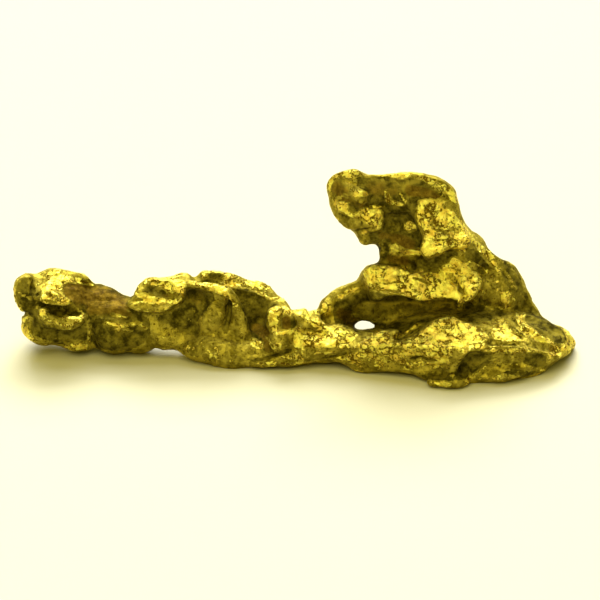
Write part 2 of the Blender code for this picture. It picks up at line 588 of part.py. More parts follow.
def gold():
    """Native gold with a brown-olive stain in its hollows, from its mean colour."""
    material = bpy.data.materials.new("native gold")
    material.use_nodes = True
    shader = material.node_tree.nodes["Principled BSDF"]
    shader.inputs["Base Color"].default_value = (0.55, 0.40, 0.07, 1.0)
    shader.inputs["Metallic"].default_value = 1.0
    shader.inputs["Roughness"].default_value = 0.4
    return material


def main():
    for obj in list(bpy.data.objects):
        bpy.data.objects.remove(obj)
    mesh = fused(blocked_in(), SKIN_VOXEL, smoothings=2)
    draw_lines(mesh, LINES, on_show_side)
    draw_lines(mesh, FAR_LINES, on_far_side)
    knock_dents(mesh, DENTS, DENT_RADIUS, DENT_DEPTH, WEAR_SEED)
    roughen(mesh, GRAIN)
    mesh = thinned(largest_shell(fused(mesh, SKIN_VOXEL)))
    mesh.transform(Matrix.Scale(METRES_PER_MM, 4) @ Matrix.Translation(-FOOTPRINT_MIDDLE))
    for vertex in mesh.vertices:
        vertex.co.z = max(vertex.co.z, 0.0)
    nugget = bpy.data.objects.new("nugget", mesh)
    mesh.materials.append(gold())
    mesh.shade_smooth()
    bpy.context.scene.collection.objects.link(nugget)


if __name__ == "__main__":
    main()
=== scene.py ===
"""The finished look of a natural gold nugget, lying on a pale floor in soft studio light.

The nugget is modelled again in millimetres at a finer grain than its plain solid, from the same masses,
leaves and hollows. Fine folds, pits and scratches are worked into its skin. Each point of the skin keeps
how far it is rubbed bright (with painted shade and painted fill light drawn in on the show side), how
brown its stain is, how much pale colour lifts its stain (dried silt, and painted fill light in the long
hollow) and how far it stands proud of the skin round it. The finish reads those four values.
"""

import math

import bmesh
import bpy
import numpy as np
from mathutils import Matrix, Vector, noise
from mathutils.bvhtree import BVHTree


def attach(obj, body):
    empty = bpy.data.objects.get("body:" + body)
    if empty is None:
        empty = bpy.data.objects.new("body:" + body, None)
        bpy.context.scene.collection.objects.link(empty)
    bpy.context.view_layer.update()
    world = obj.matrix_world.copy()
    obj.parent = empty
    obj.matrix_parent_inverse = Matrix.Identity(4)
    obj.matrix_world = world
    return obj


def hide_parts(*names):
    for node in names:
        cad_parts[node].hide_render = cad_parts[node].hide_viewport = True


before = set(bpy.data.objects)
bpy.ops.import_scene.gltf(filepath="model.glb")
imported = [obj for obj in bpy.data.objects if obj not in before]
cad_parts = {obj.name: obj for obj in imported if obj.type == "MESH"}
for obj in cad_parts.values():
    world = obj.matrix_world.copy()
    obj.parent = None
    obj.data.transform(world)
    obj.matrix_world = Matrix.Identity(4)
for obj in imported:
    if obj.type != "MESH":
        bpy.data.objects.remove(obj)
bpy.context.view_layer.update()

# Driving dimensions, in millimetres unless a name says otherwise.
METRES_PER_MM = 0.001
SIGHT_DEG = 25.0  # the nugget's show side is looked at from this far above level
FLOOR_RISE = 2.55  # where the floor under the nugget's middle line lies on the rise scale
FOOTPRINT_MIDDLE = Vector((14.68, -1.20, 0.0))  # it becomes the origin
BLOCK_VOXEL = 0.14
SKIN_VOXEL = 0.094
FAR = 40.0  # further than any part of the nugget is from its middle

SIN, COS = math.sin(math.radians(SIGHT_DEG)), math.cos(math.radians(SIGHT_DEG))
SIGHT = Vector((0.0, COS, -SIN))

# Every form below is given as it is seen on the show side: across to the right and rise up the view,
# then back, its true distance behind the nugget's middle line, which is negative towards the viewer.

# Lumps: (across, rise, back, half width, half depth, half height, turn in degrees)
KNOB_LUMPS = [
    (3.10, 4.40, 0.00, 2.15, 1.70, 1.80, 0),  # the knob's core
    (1.58, 5.30, -0.35, 0.95, 1.10, 0.95, 0),  # upper left lobe
    (2.95, 5.66, 0.10, 1.50, 1.20, 0.74, -4),  # top lobe
    (2.05, 3.50, -0.40, 1.08, 1.25, 0.72, -16),  # lower left lobe
    (3.80, 3.12, -0.30, 1.05, 1.20, 0.70, 0),  # bottom lobe
    (4.85, 4.55, 0.10, 1.60, 1.40, 1.34, -14),
    (5.70, 3.85, -0.30, 1.70, 1.50, 1.50, -12),  # barrel
    (6.85, 3.72, -0.35, 1.30, 1.35, 1.36, 0),  # waist
    (2.60, 4.70, 0.90, 1.50, 1.10, 1.40, 10),  # far side
    (5.20, 4.40, 0.90, 1.50, 0.90, 1.20, -10),
]
FOLD_LUMPS = [
    (10.25, 4.60, -0.05, 3.10, 1.25, 1.25, 0),  # mass behind the leaves
    (11.40, 2.74, -0.90, 2.80, 1.70, 1.06, -6),  # belly under the leaves
    (8.30, 3.50, -0.60, 1.30, 1.20, 0.90, -15),
    (8.00, 4.10, -0.30, 1.40, 1.30, 1.20, 0),
    (10.55, 4.15, -1.15, 0.74, 0.60, 0.92, 0),  # tongue
    (10.60, 5.10, -0.60, 1.10, 0.80, 0.60, 0),  # roof over the tongue
    (11.70, 5.35, 0.20, 1.90, 0.90, 0.75, -8),  # hump
    (13.00, 4.90, 0.10, 1.10, 0.90, 0.85, -15),
    (11.80, 3.70, -0.90, 0.60, 0.80, 0.90, 0),
    (11.60, 4.60, 0.90, 2.20, 1.00, 1.20, 0),  # far side
    (9.15, 6.05, -0.10, 0.45, 0.50, 0.28, 0),  # small bump over the leaf
    (9.70, 5.72, 0.00, 0.45, 0.60, 0.30, 0),
    (13.98, 5.00, -0.20, 0.36, 0.50, 0.20, -10),  # step at the hump's end
    (14.22, 4.52, -0.30, 0.36, 0.50, 0.36, 0),
    (13.05, 3.85, 0.10, 0.95, 0.80, 0.80, 0),
    (9.25, 3.75, -0.85, 0.95, 0.65, 0.55, -20),  # under the leaf
    (12.90, 3.70, -0.55, 0.60, 0.50, 0.40, 0),
]
BAR_LUMPS = [
    (14.50, 2.80, -1.30, 2.20, 1.50, 1.00, 0),
    (16.50, 2.80, -1.50, 2.00, 1.35, 0.92, 0),
    (18.60, 2.55, -1.90, 2.20, 1.35, 0.92, 0),
    (13.95, 3.00, -2.25, 0.60, 0.70, 0.62, 0),  # round knob at the bar's root
    (15.05, 4.22, -1.30, 0.42, 0.55, 0.42, 0),  # broken bits on the bar's top
    (15.70, 3.85, -1.50, 0.55, 0.60, 0.36, -10),
    (15.00, 3.55, -1.90, 0.38, 0.50, 0.30, 0),
    (15.75, 4.15, -0.90, 0.36, 0.50, 0.36, 0),
    (17.20, 3.45, -1.50, 0.80, 0.60, 0.30, -10),
    (16.85, 3.95, -0.20, 0.55, 0.60, 0.50, 0),
    (16.10, 3.95, -0.10, 0.60, 0.60, 0.45, 0),
]
FOOT_LUMPS = [
    (23.60, 3.20, -1.10, 4.30, 2.90, 1.30, 0),  # the foot's core
    (21.20, 2.60, -1.60, 2.60, 2.30, 1.05, 0),
    (25.20, 2.20, -2.30, 2.10, 1.90, 0.80, 0),
    (27.20, 2.85, -1.50, 1.50, 1.30, 0.72, -8),  # tip
    (22.38, 0.96, -4.40, 1.12, 0.60, 0.28, 0),  # crust at the front of the foot
    (24.90, 1.50, -3.50, 1.80, 0.90, 0.45, 4),
    (21.60, 1.38, -3.40, 1.10, 0.75, 0.42, -16),
    (25.00, 3.55, -1.90, 0.55, 0.80, 0.42, 0),
]
FIN_LUMPS = [
    (17.50, 10.30, 0.35, 1.05, 1.20, 1.05, 0),  # beak
    (17.55, 9.30, 0.20, 0.90, 1.10, 0.62, -25),
    (18.50, 9.10, 0.05, 0.80, 0.90, 0.62, 0),  # chin
    (18.30, 8.25, 0.60, 0.48, 0.95, 0.36, 0),  # little boss under the chin
    (20.40, 10.30, 0.85, 2.10, 1.30, 0.98, -4),  # crown
    (21.90, 9.70, 0.60, 0.90, 1.20, 0.95, 0),
    (23.10, 7.30, 0.30, 1.25, 1.35, 1.20, 0),
    (24.70, 5.60, 0.50, 1.80, 1.30, 1.50, -35),  # shoulder
    (19.20, 6.00, 0.00, 1.20, 1.00, 0.70, 0),
    (17.10, 4.95, 0.30, 1.25, 0.85, 0.62, 36),  # bridge down to the bar
    (16.35, 4.62, -0.10, 0.42, 0.60, 0.42, 0),  # its bright end
    (20.70, 8.70, 1.20, 1.70, 0.90, 1.60, 0),  # far side
    (23.00, 6.40, 1.20, 2.20, 1.10, 1.50, -30),
    (21.60, 6.95, -0.35, 1.10, 0.55, 0.35, 0),  # under the cheek
    (19.00, 10.20, 1.10, 1.60, 0.80, 0.80, 0),
    (21.60, 5.60, 1.30, 2.20, 1.00, 1.20, 0),
    (24.60, 4.60, 1.20, 1.90, 1.20, 1.00, -20),
    (20.00, 4.60, 1.20, 1.30, 0.90, 0.80, 10),
]

# Ridges: points of (across, rise, back, radius) along a smooth curve that thins at both ends
RIDGES = [
    [(1.6, 6.1, 0.1, 0.24), (2.6, 6.25, 0.1, 0.26), (3.6, 6.2, 0.2, 0.26), (4.9, 5.8, 0.2, 0.26)],
    # the hump behind the leaves
    [
        (9.9, 5.75, 0.2, 0.28),
        (10.45, 6.18, 0.25, 0.42),
        (11.4, 6.04, 0.25, 0.40),
        (12.3, 5.68, 0.2, 0.38),
        (13.1, 5.54, 0.15, 0.40),
        (13.8, 5.30, 0.1, 0.36),
    ],
    # the arch, the rolled rim of the curled leaf
    [
        (8.9, 5.80, -0.5, 0.28),
        (10.0, 5.72, -0.9, 0.30),
        (10.65, 5.58, -1.1, 0.34),
        (11.25, 5.34, -1.3, 0.36),
        (11.72, 4.95, -1.4, 0.36),
        (12.00, 4.30, -1.5, 0.36),
        (12.16, 3.60, -1.6, 0.36),
        (12.20, 2.90, -1.6, 0.36),
    ],
    # the lip along the bar's bottom edge
    [(11.8, 1.95, -2.2, 0.26), (13.5, 1.95, -2.45, 0.3), (15.0, 2.0, -2.55, 0.3), (17.0, 2.3, -2.6, 0.26)],
]

# Slabs: outlines in the view, cut along the line of sight, each with the backs of its shaped face and of
# its plain one, and the shaped face's lean (back for each mm of rise) and swing (back for each mm across).
FIN = [
    (16.26, 10.50), (16.36, 10.95), (16.78, 11.32), (17.40, 11.48), (17.95, 11.43), (18.30, 11.22),
    (19.00, 11.25), (19.60, 11.40), (20.40, 11.38), (21.20, 11.22), (22.10, 10.92), (22.68, 10.50),
    (22.95, 9.95), (23.04, 9.35), (23.18, 8.90), (23.48, 8.45), (23.70, 8.00), (24.20, 7.70),
    (24.70, 7.20), (25.30, 6.80), (25.75, 6.40), (26.10, 5.85), (26.50, 5.35), (26.80, 4.75),
    (27.05, 4.15), (26.60, 3.20), (19.50, 3.20), (18.90, 3.20), (18.00, 3.20), (17.20, 3.25),
    (16.50, 3.60), (15.80, 4.45), (16.00, 4.65), (16.35, 5.00), (16.65, 5.35),
    (17.05, 5.60), (17.50, 5.85), (18.00, 5.95), (18.00, 6.20), (18.20, 6.50), (18.60, 6.65),
    (19.05, 6.80), (19.08, 7.40), (19.00, 7.82), (18.60, 7.85), (18.10, 7.85), (17.85, 8.05),
    (17.80, 8.35), (17.60, 8.45), (17.30, 8.70), (16.95, 8.95), (16.70, 9.25), (16.50, 9.65),
    (16.38, 10.00),
]
CHEEK = [
    (20.72, 9.88), (21.60, 10.08), (22.25, 9.85), (22.70, 9.55), (22.90, 9.05), (23.30, 8.60),
    (23.60, 8.05), (23.50, 7.65), (23.05, 7.42), (22.50, 7.48), (22.00, 7.25), (21.35, 7.02),
    (20.92, 7.45), (21.12, 8.05), (20.85, 8.60), (20.65, 9.10),
]
BROW = [
    (18.10, 6.25), (18.42, 6.62), (19.25, 6.75), (20.00, 6.62), (20.60, 6.45), (21.00, 6.52),
    (22.00, 6.50), (22.40, 6.70), (23.10, 6.62), (23.80, 6.35), (24.10, 6.00), (23.95, 5.60),
    (23.60, 5.05), (23.10, 4.82), (22.60, 5.02), (21.90, 5.06), (21.20, 4.96), (20.40, 5.12),
    (19.60, 5.20), (19.00, 4.92), (18.55, 4.98), (18.35, 5.50),
]
LEAF = [
    (6.35, 4.80), (6.65, 5.10), (6.85, 5.55), (7.15, 5.85), (7.50, 6.05), (8.25, 6.10), (8.90, 6.12),
    (9.35, 5.95), (9.35, 5.50), (9.25, 5.05), (9.00, 4.75), (8.55, 4.50), (8.00, 4.33), (7.50, 4.35),
    (7.00, 4.55),
]
LEFT_LOBE = [
    (0.66, 5.60), (0.88, 6.05), (1.40, 6.36), (1.72, 6.15), (1.62, 5.60), (1.74, 5.00), (1.56, 4.50),
    (1.27, 4.32), (0.95, 4.62), (0.70, 5.10),
]
UPPER_LIP = [
    (2.00, 5.43), (2.20, 5.56), (2.53, 5.43), (2.87, 5.23), (3.47, 4.92), (3.53, 4.80), (3.27, 4.73),
    (2.67, 4.83), (2.02, 4.93),
]
LOWER_LIP = [
    (2.00, 4.50), (2.20, 4.58), (2.45, 4.57), (2.65, 4.32), (3.05, 4.14), (3.75, 4.19), (4.27, 4.25),
    (4.27, 4.02), (3.80, 3.74), (3.40, 3.60), (2.85, 3.75), (2.25, 4.05), (2.00, 4.25),
]
BLOCK = [
    (13.38, 3.60), (13.36, 4.20), (13.52, 4.52), (13.95, 4.72), (14.35, 4.68), (14.60, 4.40),
    (14.80, 4.00), (14.75, 3.50), (14.25, 3.40), (13.75, 3.45),
]
BAR_TOP = [
    (14.60, 2.95), (15.20, 3.25), (15.90, 3.50), (16.70, 3.72), (17.40, 3.72), (17.90, 3.40),
    (18.30, 2.95), (18.00, 2.70), (17.00, 2.60), (15.80, 2.75),
]
FOOT_FRONT = [
    (17.60, 2.70), (19.00, 2.80), (20.00, 2.85), (21.50, 2.75), (23.30, 2.55), (23.30, 1.30),
    (22.90, 0.95), (22.30, 0.82), (21.70, 0.95), (21.00, 1.18), (20.30, 1.36), (19.00, 1.45),
    (17.60, 1.55),
]
FOOT_SIDE = [
    (22.30, 2.60), (23.50, 2.60), (25.00, 2.70), (26.50, 2.60), (27.60, 2.40), (28.20, 2.20),
    (27.40, 1.70), (26.90, 1.30), (25.80, 1.00), (24.60, 0.90), (23.30, 0.90), (22.40, 1.20),
]
TABLE = [
    (19.90, 2.78), (20.60, 3.20), (21.20, 3.62), (21.75, 4.05), (22.40, 4.18), (23.20, 3.95),
    (23.95, 3.52), (24.40, 3.12), (24.10, 2.72), (23.00, 2.55), (21.50, 2.66),
]
SMALL_TABLE = [
    (17.80, 2.72), (18.30, 3.00), (19.00, 3.36), (19.60, 3.52), (20.00, 3.45), (19.60, 3.10),
    (19.45, 2.75),
]
SIDE_TABLE = [
    (24.45, 2.60), (24.35, 3.20), (24.65, 3.60), (25.10, 3.68), (25.50, 3.30), (26.10, 3.00),
    (26.30, 2.65), (25.40, 2.50),
]
TIP_SLOPE = [
    (26.00, 4.35), (27.05, 4.15), (27.60, 3.78), (28.20, 3.50), (28.60, 3.10), (28.75, 2.75),
    (28.50, 2.45), (27.90, 2.35), (27.20, 2.80), (26.50, 3.20), (26.00, 3.70),
]
SLABS = [
    (FIN, -0.10, 1.25, 0.0, 0.0),
    (CHEEK, -1.00, 0.60, 0.55, 0.10),
    (BROW, -1.65, 0.60, 0.85, 0.05),
    (LEAF, -1.55, 0.30, 0.55, 0.0),
    (LEFT_LOBE, -1.42, 0.00, 0.10, -0.45),
    (UPPER_LIP, -1.95, -0.60, 0.75, -0.10),
    (LOWER_LIP, -2.20, -0.60, 0.75, 0.10),
    (BLOCK, -2.20, -0.40, 0.30, -0.3),
    (BAR_TOP, -2.45, -0.80, 1.05, -0.10),
    (FOOT_FRONT, -3.90, -0.60, -0.40, -0.30),
    (FOOT_SIDE, -3.90, 0.60, -0.30, 0.25),
    (TABLE, -3.50, 0.50, 1.05, -0.15),
    (SMALL_TABLE, -3.20, -0.80, 1.05, -0.20),
    (SIDE_TABLE, -3.40, -0.80, 1.05, 0.10),
    (TIP_SLOPE, -1.30, 0.60, 0.40, 0.10),
]

# Hollows, cut along the line of sight. The long one under the brow, the scoop in the foot and the small
# see-through hole are cut by slabs, and the rest by lumps like those above.
LONG_HOLLOW = [
    (16.75, 5.00), (17.60, 5.05), (18.50, 4.86), (19.60, 4.96), (20.40, 5.00), (21.20, 4.92),
    (22.00, 4.96), (22.90, 4.75), (24.00, 4.50), (25.00, 4.12), (23.90, 4.00), (22.75, 4.30),
    (22.00, 4.22), (21.25, 3.92), (20.50, 3.70), (19.00, 3.50), (17.60, 3.72), (16.80, 4.15),
]
SCOOP = [
    (23.05, 2.10), (23.45, 2.40), (23.95, 2.47), (24.40, 2.30), (24.85, 2.05), (24.40, 1.85),
    (23.85, 1.50), (23.35, 1.15), (23.00, 1.08), (22.70, 1.15), (22.85, 1.60),
]
HOLE = [
    (17.66, 3.58), (17.98, 3.86), (18.50, 3.92), (18.74, 3.80), (18.90, 3.58), (18.35, 3.54),
]
HOLLOW_SLABS = [
    (HOLE, 6.00, -6.00, 0.0, 0.0),
    (LONG_HOLLOW, -1.85, -4.50, 0.25, 0.0),
    (SCOOP, -3.95, -6.00, -0.50, 0.0),
]
HOLLOWS = [
    (12.72, 4.50, -1.60, 0.50, 0.60, 0.70, 0),  # recess right of the arch
    (9.55, 4.55, -1.55, 0.42, 0.50, 0.66, 10),  # recess between the leaf and the tongue
    (1.05, 4.33, -0.50, 0.45, 2.40, 0.12, 0),  # notch between the knob's lobes
    (20.10, 7.25, -0.45, 0.80, 0.26, 0.40, 0),  # throat
    (19.75, 8.60, -0.30, 0.80, 0.30, 0.80, 0),
]

# Lines drawn on the skin of the show side: points of (across, rise), half width, height. A line with a
# negative height is a crease.
LINES = [
    # knob: groove beside the left lobe, then the two curled lips and the dark pockets under them
    ([(1.75, 5.90), (1.80, 5.30), (1.72, 4.60)], 0.20, -0.28),
    ([(2.00, 4.86), (2.80, 4.76), (3.60, 4.64)], 0.13, -0.24),
    ([(2.30, 5.55), (2.70, 5.30), (3.20, 5.02), (3.65, 4.86)], 0.17, 0.16),
    ([(2.05, 4.30), (2.30, 3.95), (2.80, 3.70), (3.35, 3.60), (3.95, 3.76), (4.30, 4.12)], 0.17, 0.24),
    ([(2.45, 4.42), (3.20, 4.34), (3.95, 4.40)], 0.15, -0.22),
    ([(2.00, 3.45), (2.80, 3.20), (3.70, 3.25)], 0.26, -0.22),
    ([(3.20, 5.84), (4.10, 5.78), (5.00, 5.62)], 0.13, -0.12),
    ([(4.62, 3.90), (4.60, 3.30), (4.66, 2.60)], 0.14, -0.22),
    ([(1.35, 5.20), (1.40, 4.80), (1.50, 4.50)], 0.15, -0.14),
    # barrel: the edge between its upper and lower faces
    ([(4.90, 4.62), (5.80, 4.56), (6.80, 4.36)], 0.20, 0.12),
    ([(5.20, 3.20), (6.20, 3.25), (7.10, 3.20)], 0.20, -0.14),
    # leaf: streak along its middle and its hanging lip
    ([(7.10, 5.72), (7.70, 5.52), (8.35, 5.28), (8.90, 5.24)], 0.17, -0.18),
    ([(6.45, 4.78), (7.00, 4.56), (7.70, 4.42), (8.40, 4.54), (8.95, 4.90), (9.22, 5.45)], 0.12, 0.10),
    # the seams on either side of the tongue
    ([(10.90, 5.16), (11.36, 4.88), (11.44, 4.30), (11.36, 3.60)], 0.13, -0.30),
    ([(9.30, 5.50), (9.80, 5.30), (10.20, 4.86), (9.90, 4.20), (9.60, 3.50)], 0.20, -0.22),
    # lines over the belly
    ([(8.20, 3.60), (9.20, 3.45), (9.90, 3.55)], 0.20, -0.20),
    ([(11.00, 3.20), (12.00, 3.00), (13.00, 3.15)], 0.16, -0.16),
    ([(13.42, 3.30), (13.35, 2.80), (13.60, 2.35)], 0.16, -0.26),
    # crevice over the bar's lip
    ([(12.60, 2.00), (13.40, 2.12), (14.20, 2.38), (15.00, 2.60)], 0.13, -0.22),
    ([(15.20, 1.95), (16.20, 2.10), (17.20, 2.34), (18.00, 2.50)], 0.13, -0.16),
    ([(15.20, 3.50), (15.80, 3.42), (16.40, 3.36)], 0.13, -0.20),
    # beak
    ([(16.60, 10.15), (17.20, 10.05), (17.80, 10.25)], 0.20, -0.20),
    ([(17.60, 10.32), (18.10, 10.42), (18.60, 10.60)], 0.14, 0.16),
    ([(17.00, 9.50), (17.50, 9.25), (17.80, 9.12)], 0.15, 0.14),
    ([(17.60, 9.70), (18.40, 9.66), (19.30, 9.72), (20.20, 9.70)], 0.18, -0.18),
    ([(17.70, 8.52), (18.40, 8.48), (18.95, 8.60)], 0.15, -0.22),
    ([(18.20, 9.45), (18.70, 9.55), (19.10, 9.38)], 0.18, 0.16),
    ([(19.30, 10.35), (19.40, 9.90), (20.00, 9.70), (20.30, 9.95)], 0.14, 0.15),
    # the recess between the chin and the cheek
    ([(19.30, 9.30), (19.70, 8.70), (20.00, 8.00), (20.60, 7.50)], 0.38, -0.20),
    ([(20.75, 9.90), (20.80, 9.20), (20.95, 8.50), (21.00, 7.90)], 0.18, -0.24),
    ([(19.70, 7.15), (20.60, 7.35), (21.60, 7.15), (22.20, 7.05)], 0.20, -0.16),
    ([(20.00, 7.42), (20.60, 7.52), (21.10, 7.40)], 0.11, 0.16),
    # cheek and the crown above it
    ([(21.50, 10.45), (22.10, 10.20), (22.60, 10.00)], 0.13, -0.18),
    ([(21.40, 9.00), (22.00, 8.60), (22.60, 8.55), (23.20, 8.30)], 0.16, -0.16),
    # brow
    ([(20.15, 6.25), (20.70, 6.45), (21.50, 6.60)], 0.14, -0.16),
    ([(22.40, 6.50), (22.80, 5.90), (23.10, 5.30), (23.35, 4.95)], 0.14, -0.22),
    ([(18.40, 5.95), (19.20, 5.75), (20.00, 5.50)], 0.15, -0.14),
    ([(23.40, 7.05), (24.10, 6.60), (24.80, 5.95)], 0.16, -0.20),
    ([(24.20, 6.90), (25.00, 6.40), (25.60, 5.60)], 0.18, 0.14),
    # the foot: ridges that run down to the tip
    ([(25.70, 4.40), (26.20, 3.70), (26.90, 3.20), (27.60, 2.75)], 0.18, 0.20),
    ([(24.50, 3.60), (25.10, 3.70), (25.60, 3.35), (26.10, 3.10)], 0.15, -0.20),
    ([(24.20, 2.85), (25.20, 2.75), (26.30, 2.85)], 0.15, -0.18),
    ([(19.45, 2.86), (20.10, 3.22), (20.70, 3.62), (20.95, 3.95)], 0.14, 0.16),
    ([(22.10, 0.95), (22.80, 1.25), (23.40, 1.65), (24.10, 1.95)], 0.16, 0.22),
    ([(20.40, 1.98), (21.10, 2.05), (21.80, 1.80)], 0.15, -0.18),
    ([(24.60, 1.75), (25.50, 1.70), (26.40, 1.85)], 0.17, -0.22),
]

# Lines on the far side and the top: points of (across, height over the floor), half width, height
FAR_LINES = [
    ([(2.0, 3.6), (3.0, 3.2), (3.8, 3.4)], 0.25, -0.25),
    ([(4.6, 1.2), (6.2, 1.5), (8.4, 1.3)], 0.30, -0.25),
    ([(9.0, 2.6), (10.6, 3.1), (12.4, 2.7)], 0.26, 0.25),
    ([(12.6, 1.5), (15.0, 1.1), (17.6, 1.4)], 0.30, -0.25),
    ([(18.2, 7.8), (20.0, 7.2), (21.8, 7.6)], 0.30, -0.30),
    ([(19.6, 6.2), (21.2, 5.6), (22.8, 5.8), (24.0, 4.9)], 0.34, 0.28),
    ([(21.0, 4.2), (22.6, 3.6), (24.4, 3.2), (26.0, 2.2)], 0.30, -0.30),
    ([(19.0, 3.2), (20.2, 2.0), (22.4, 1.4), (24.8, 1.2)], 0.30, -0.28),
]

DENTS = 260  # hollows knocked into the whole skin by pebbles
DENT_RADIUS = (0.40, 1.20)
DENT_DEPTH = (0.02, 0.09)
WEAR_SEED = 7

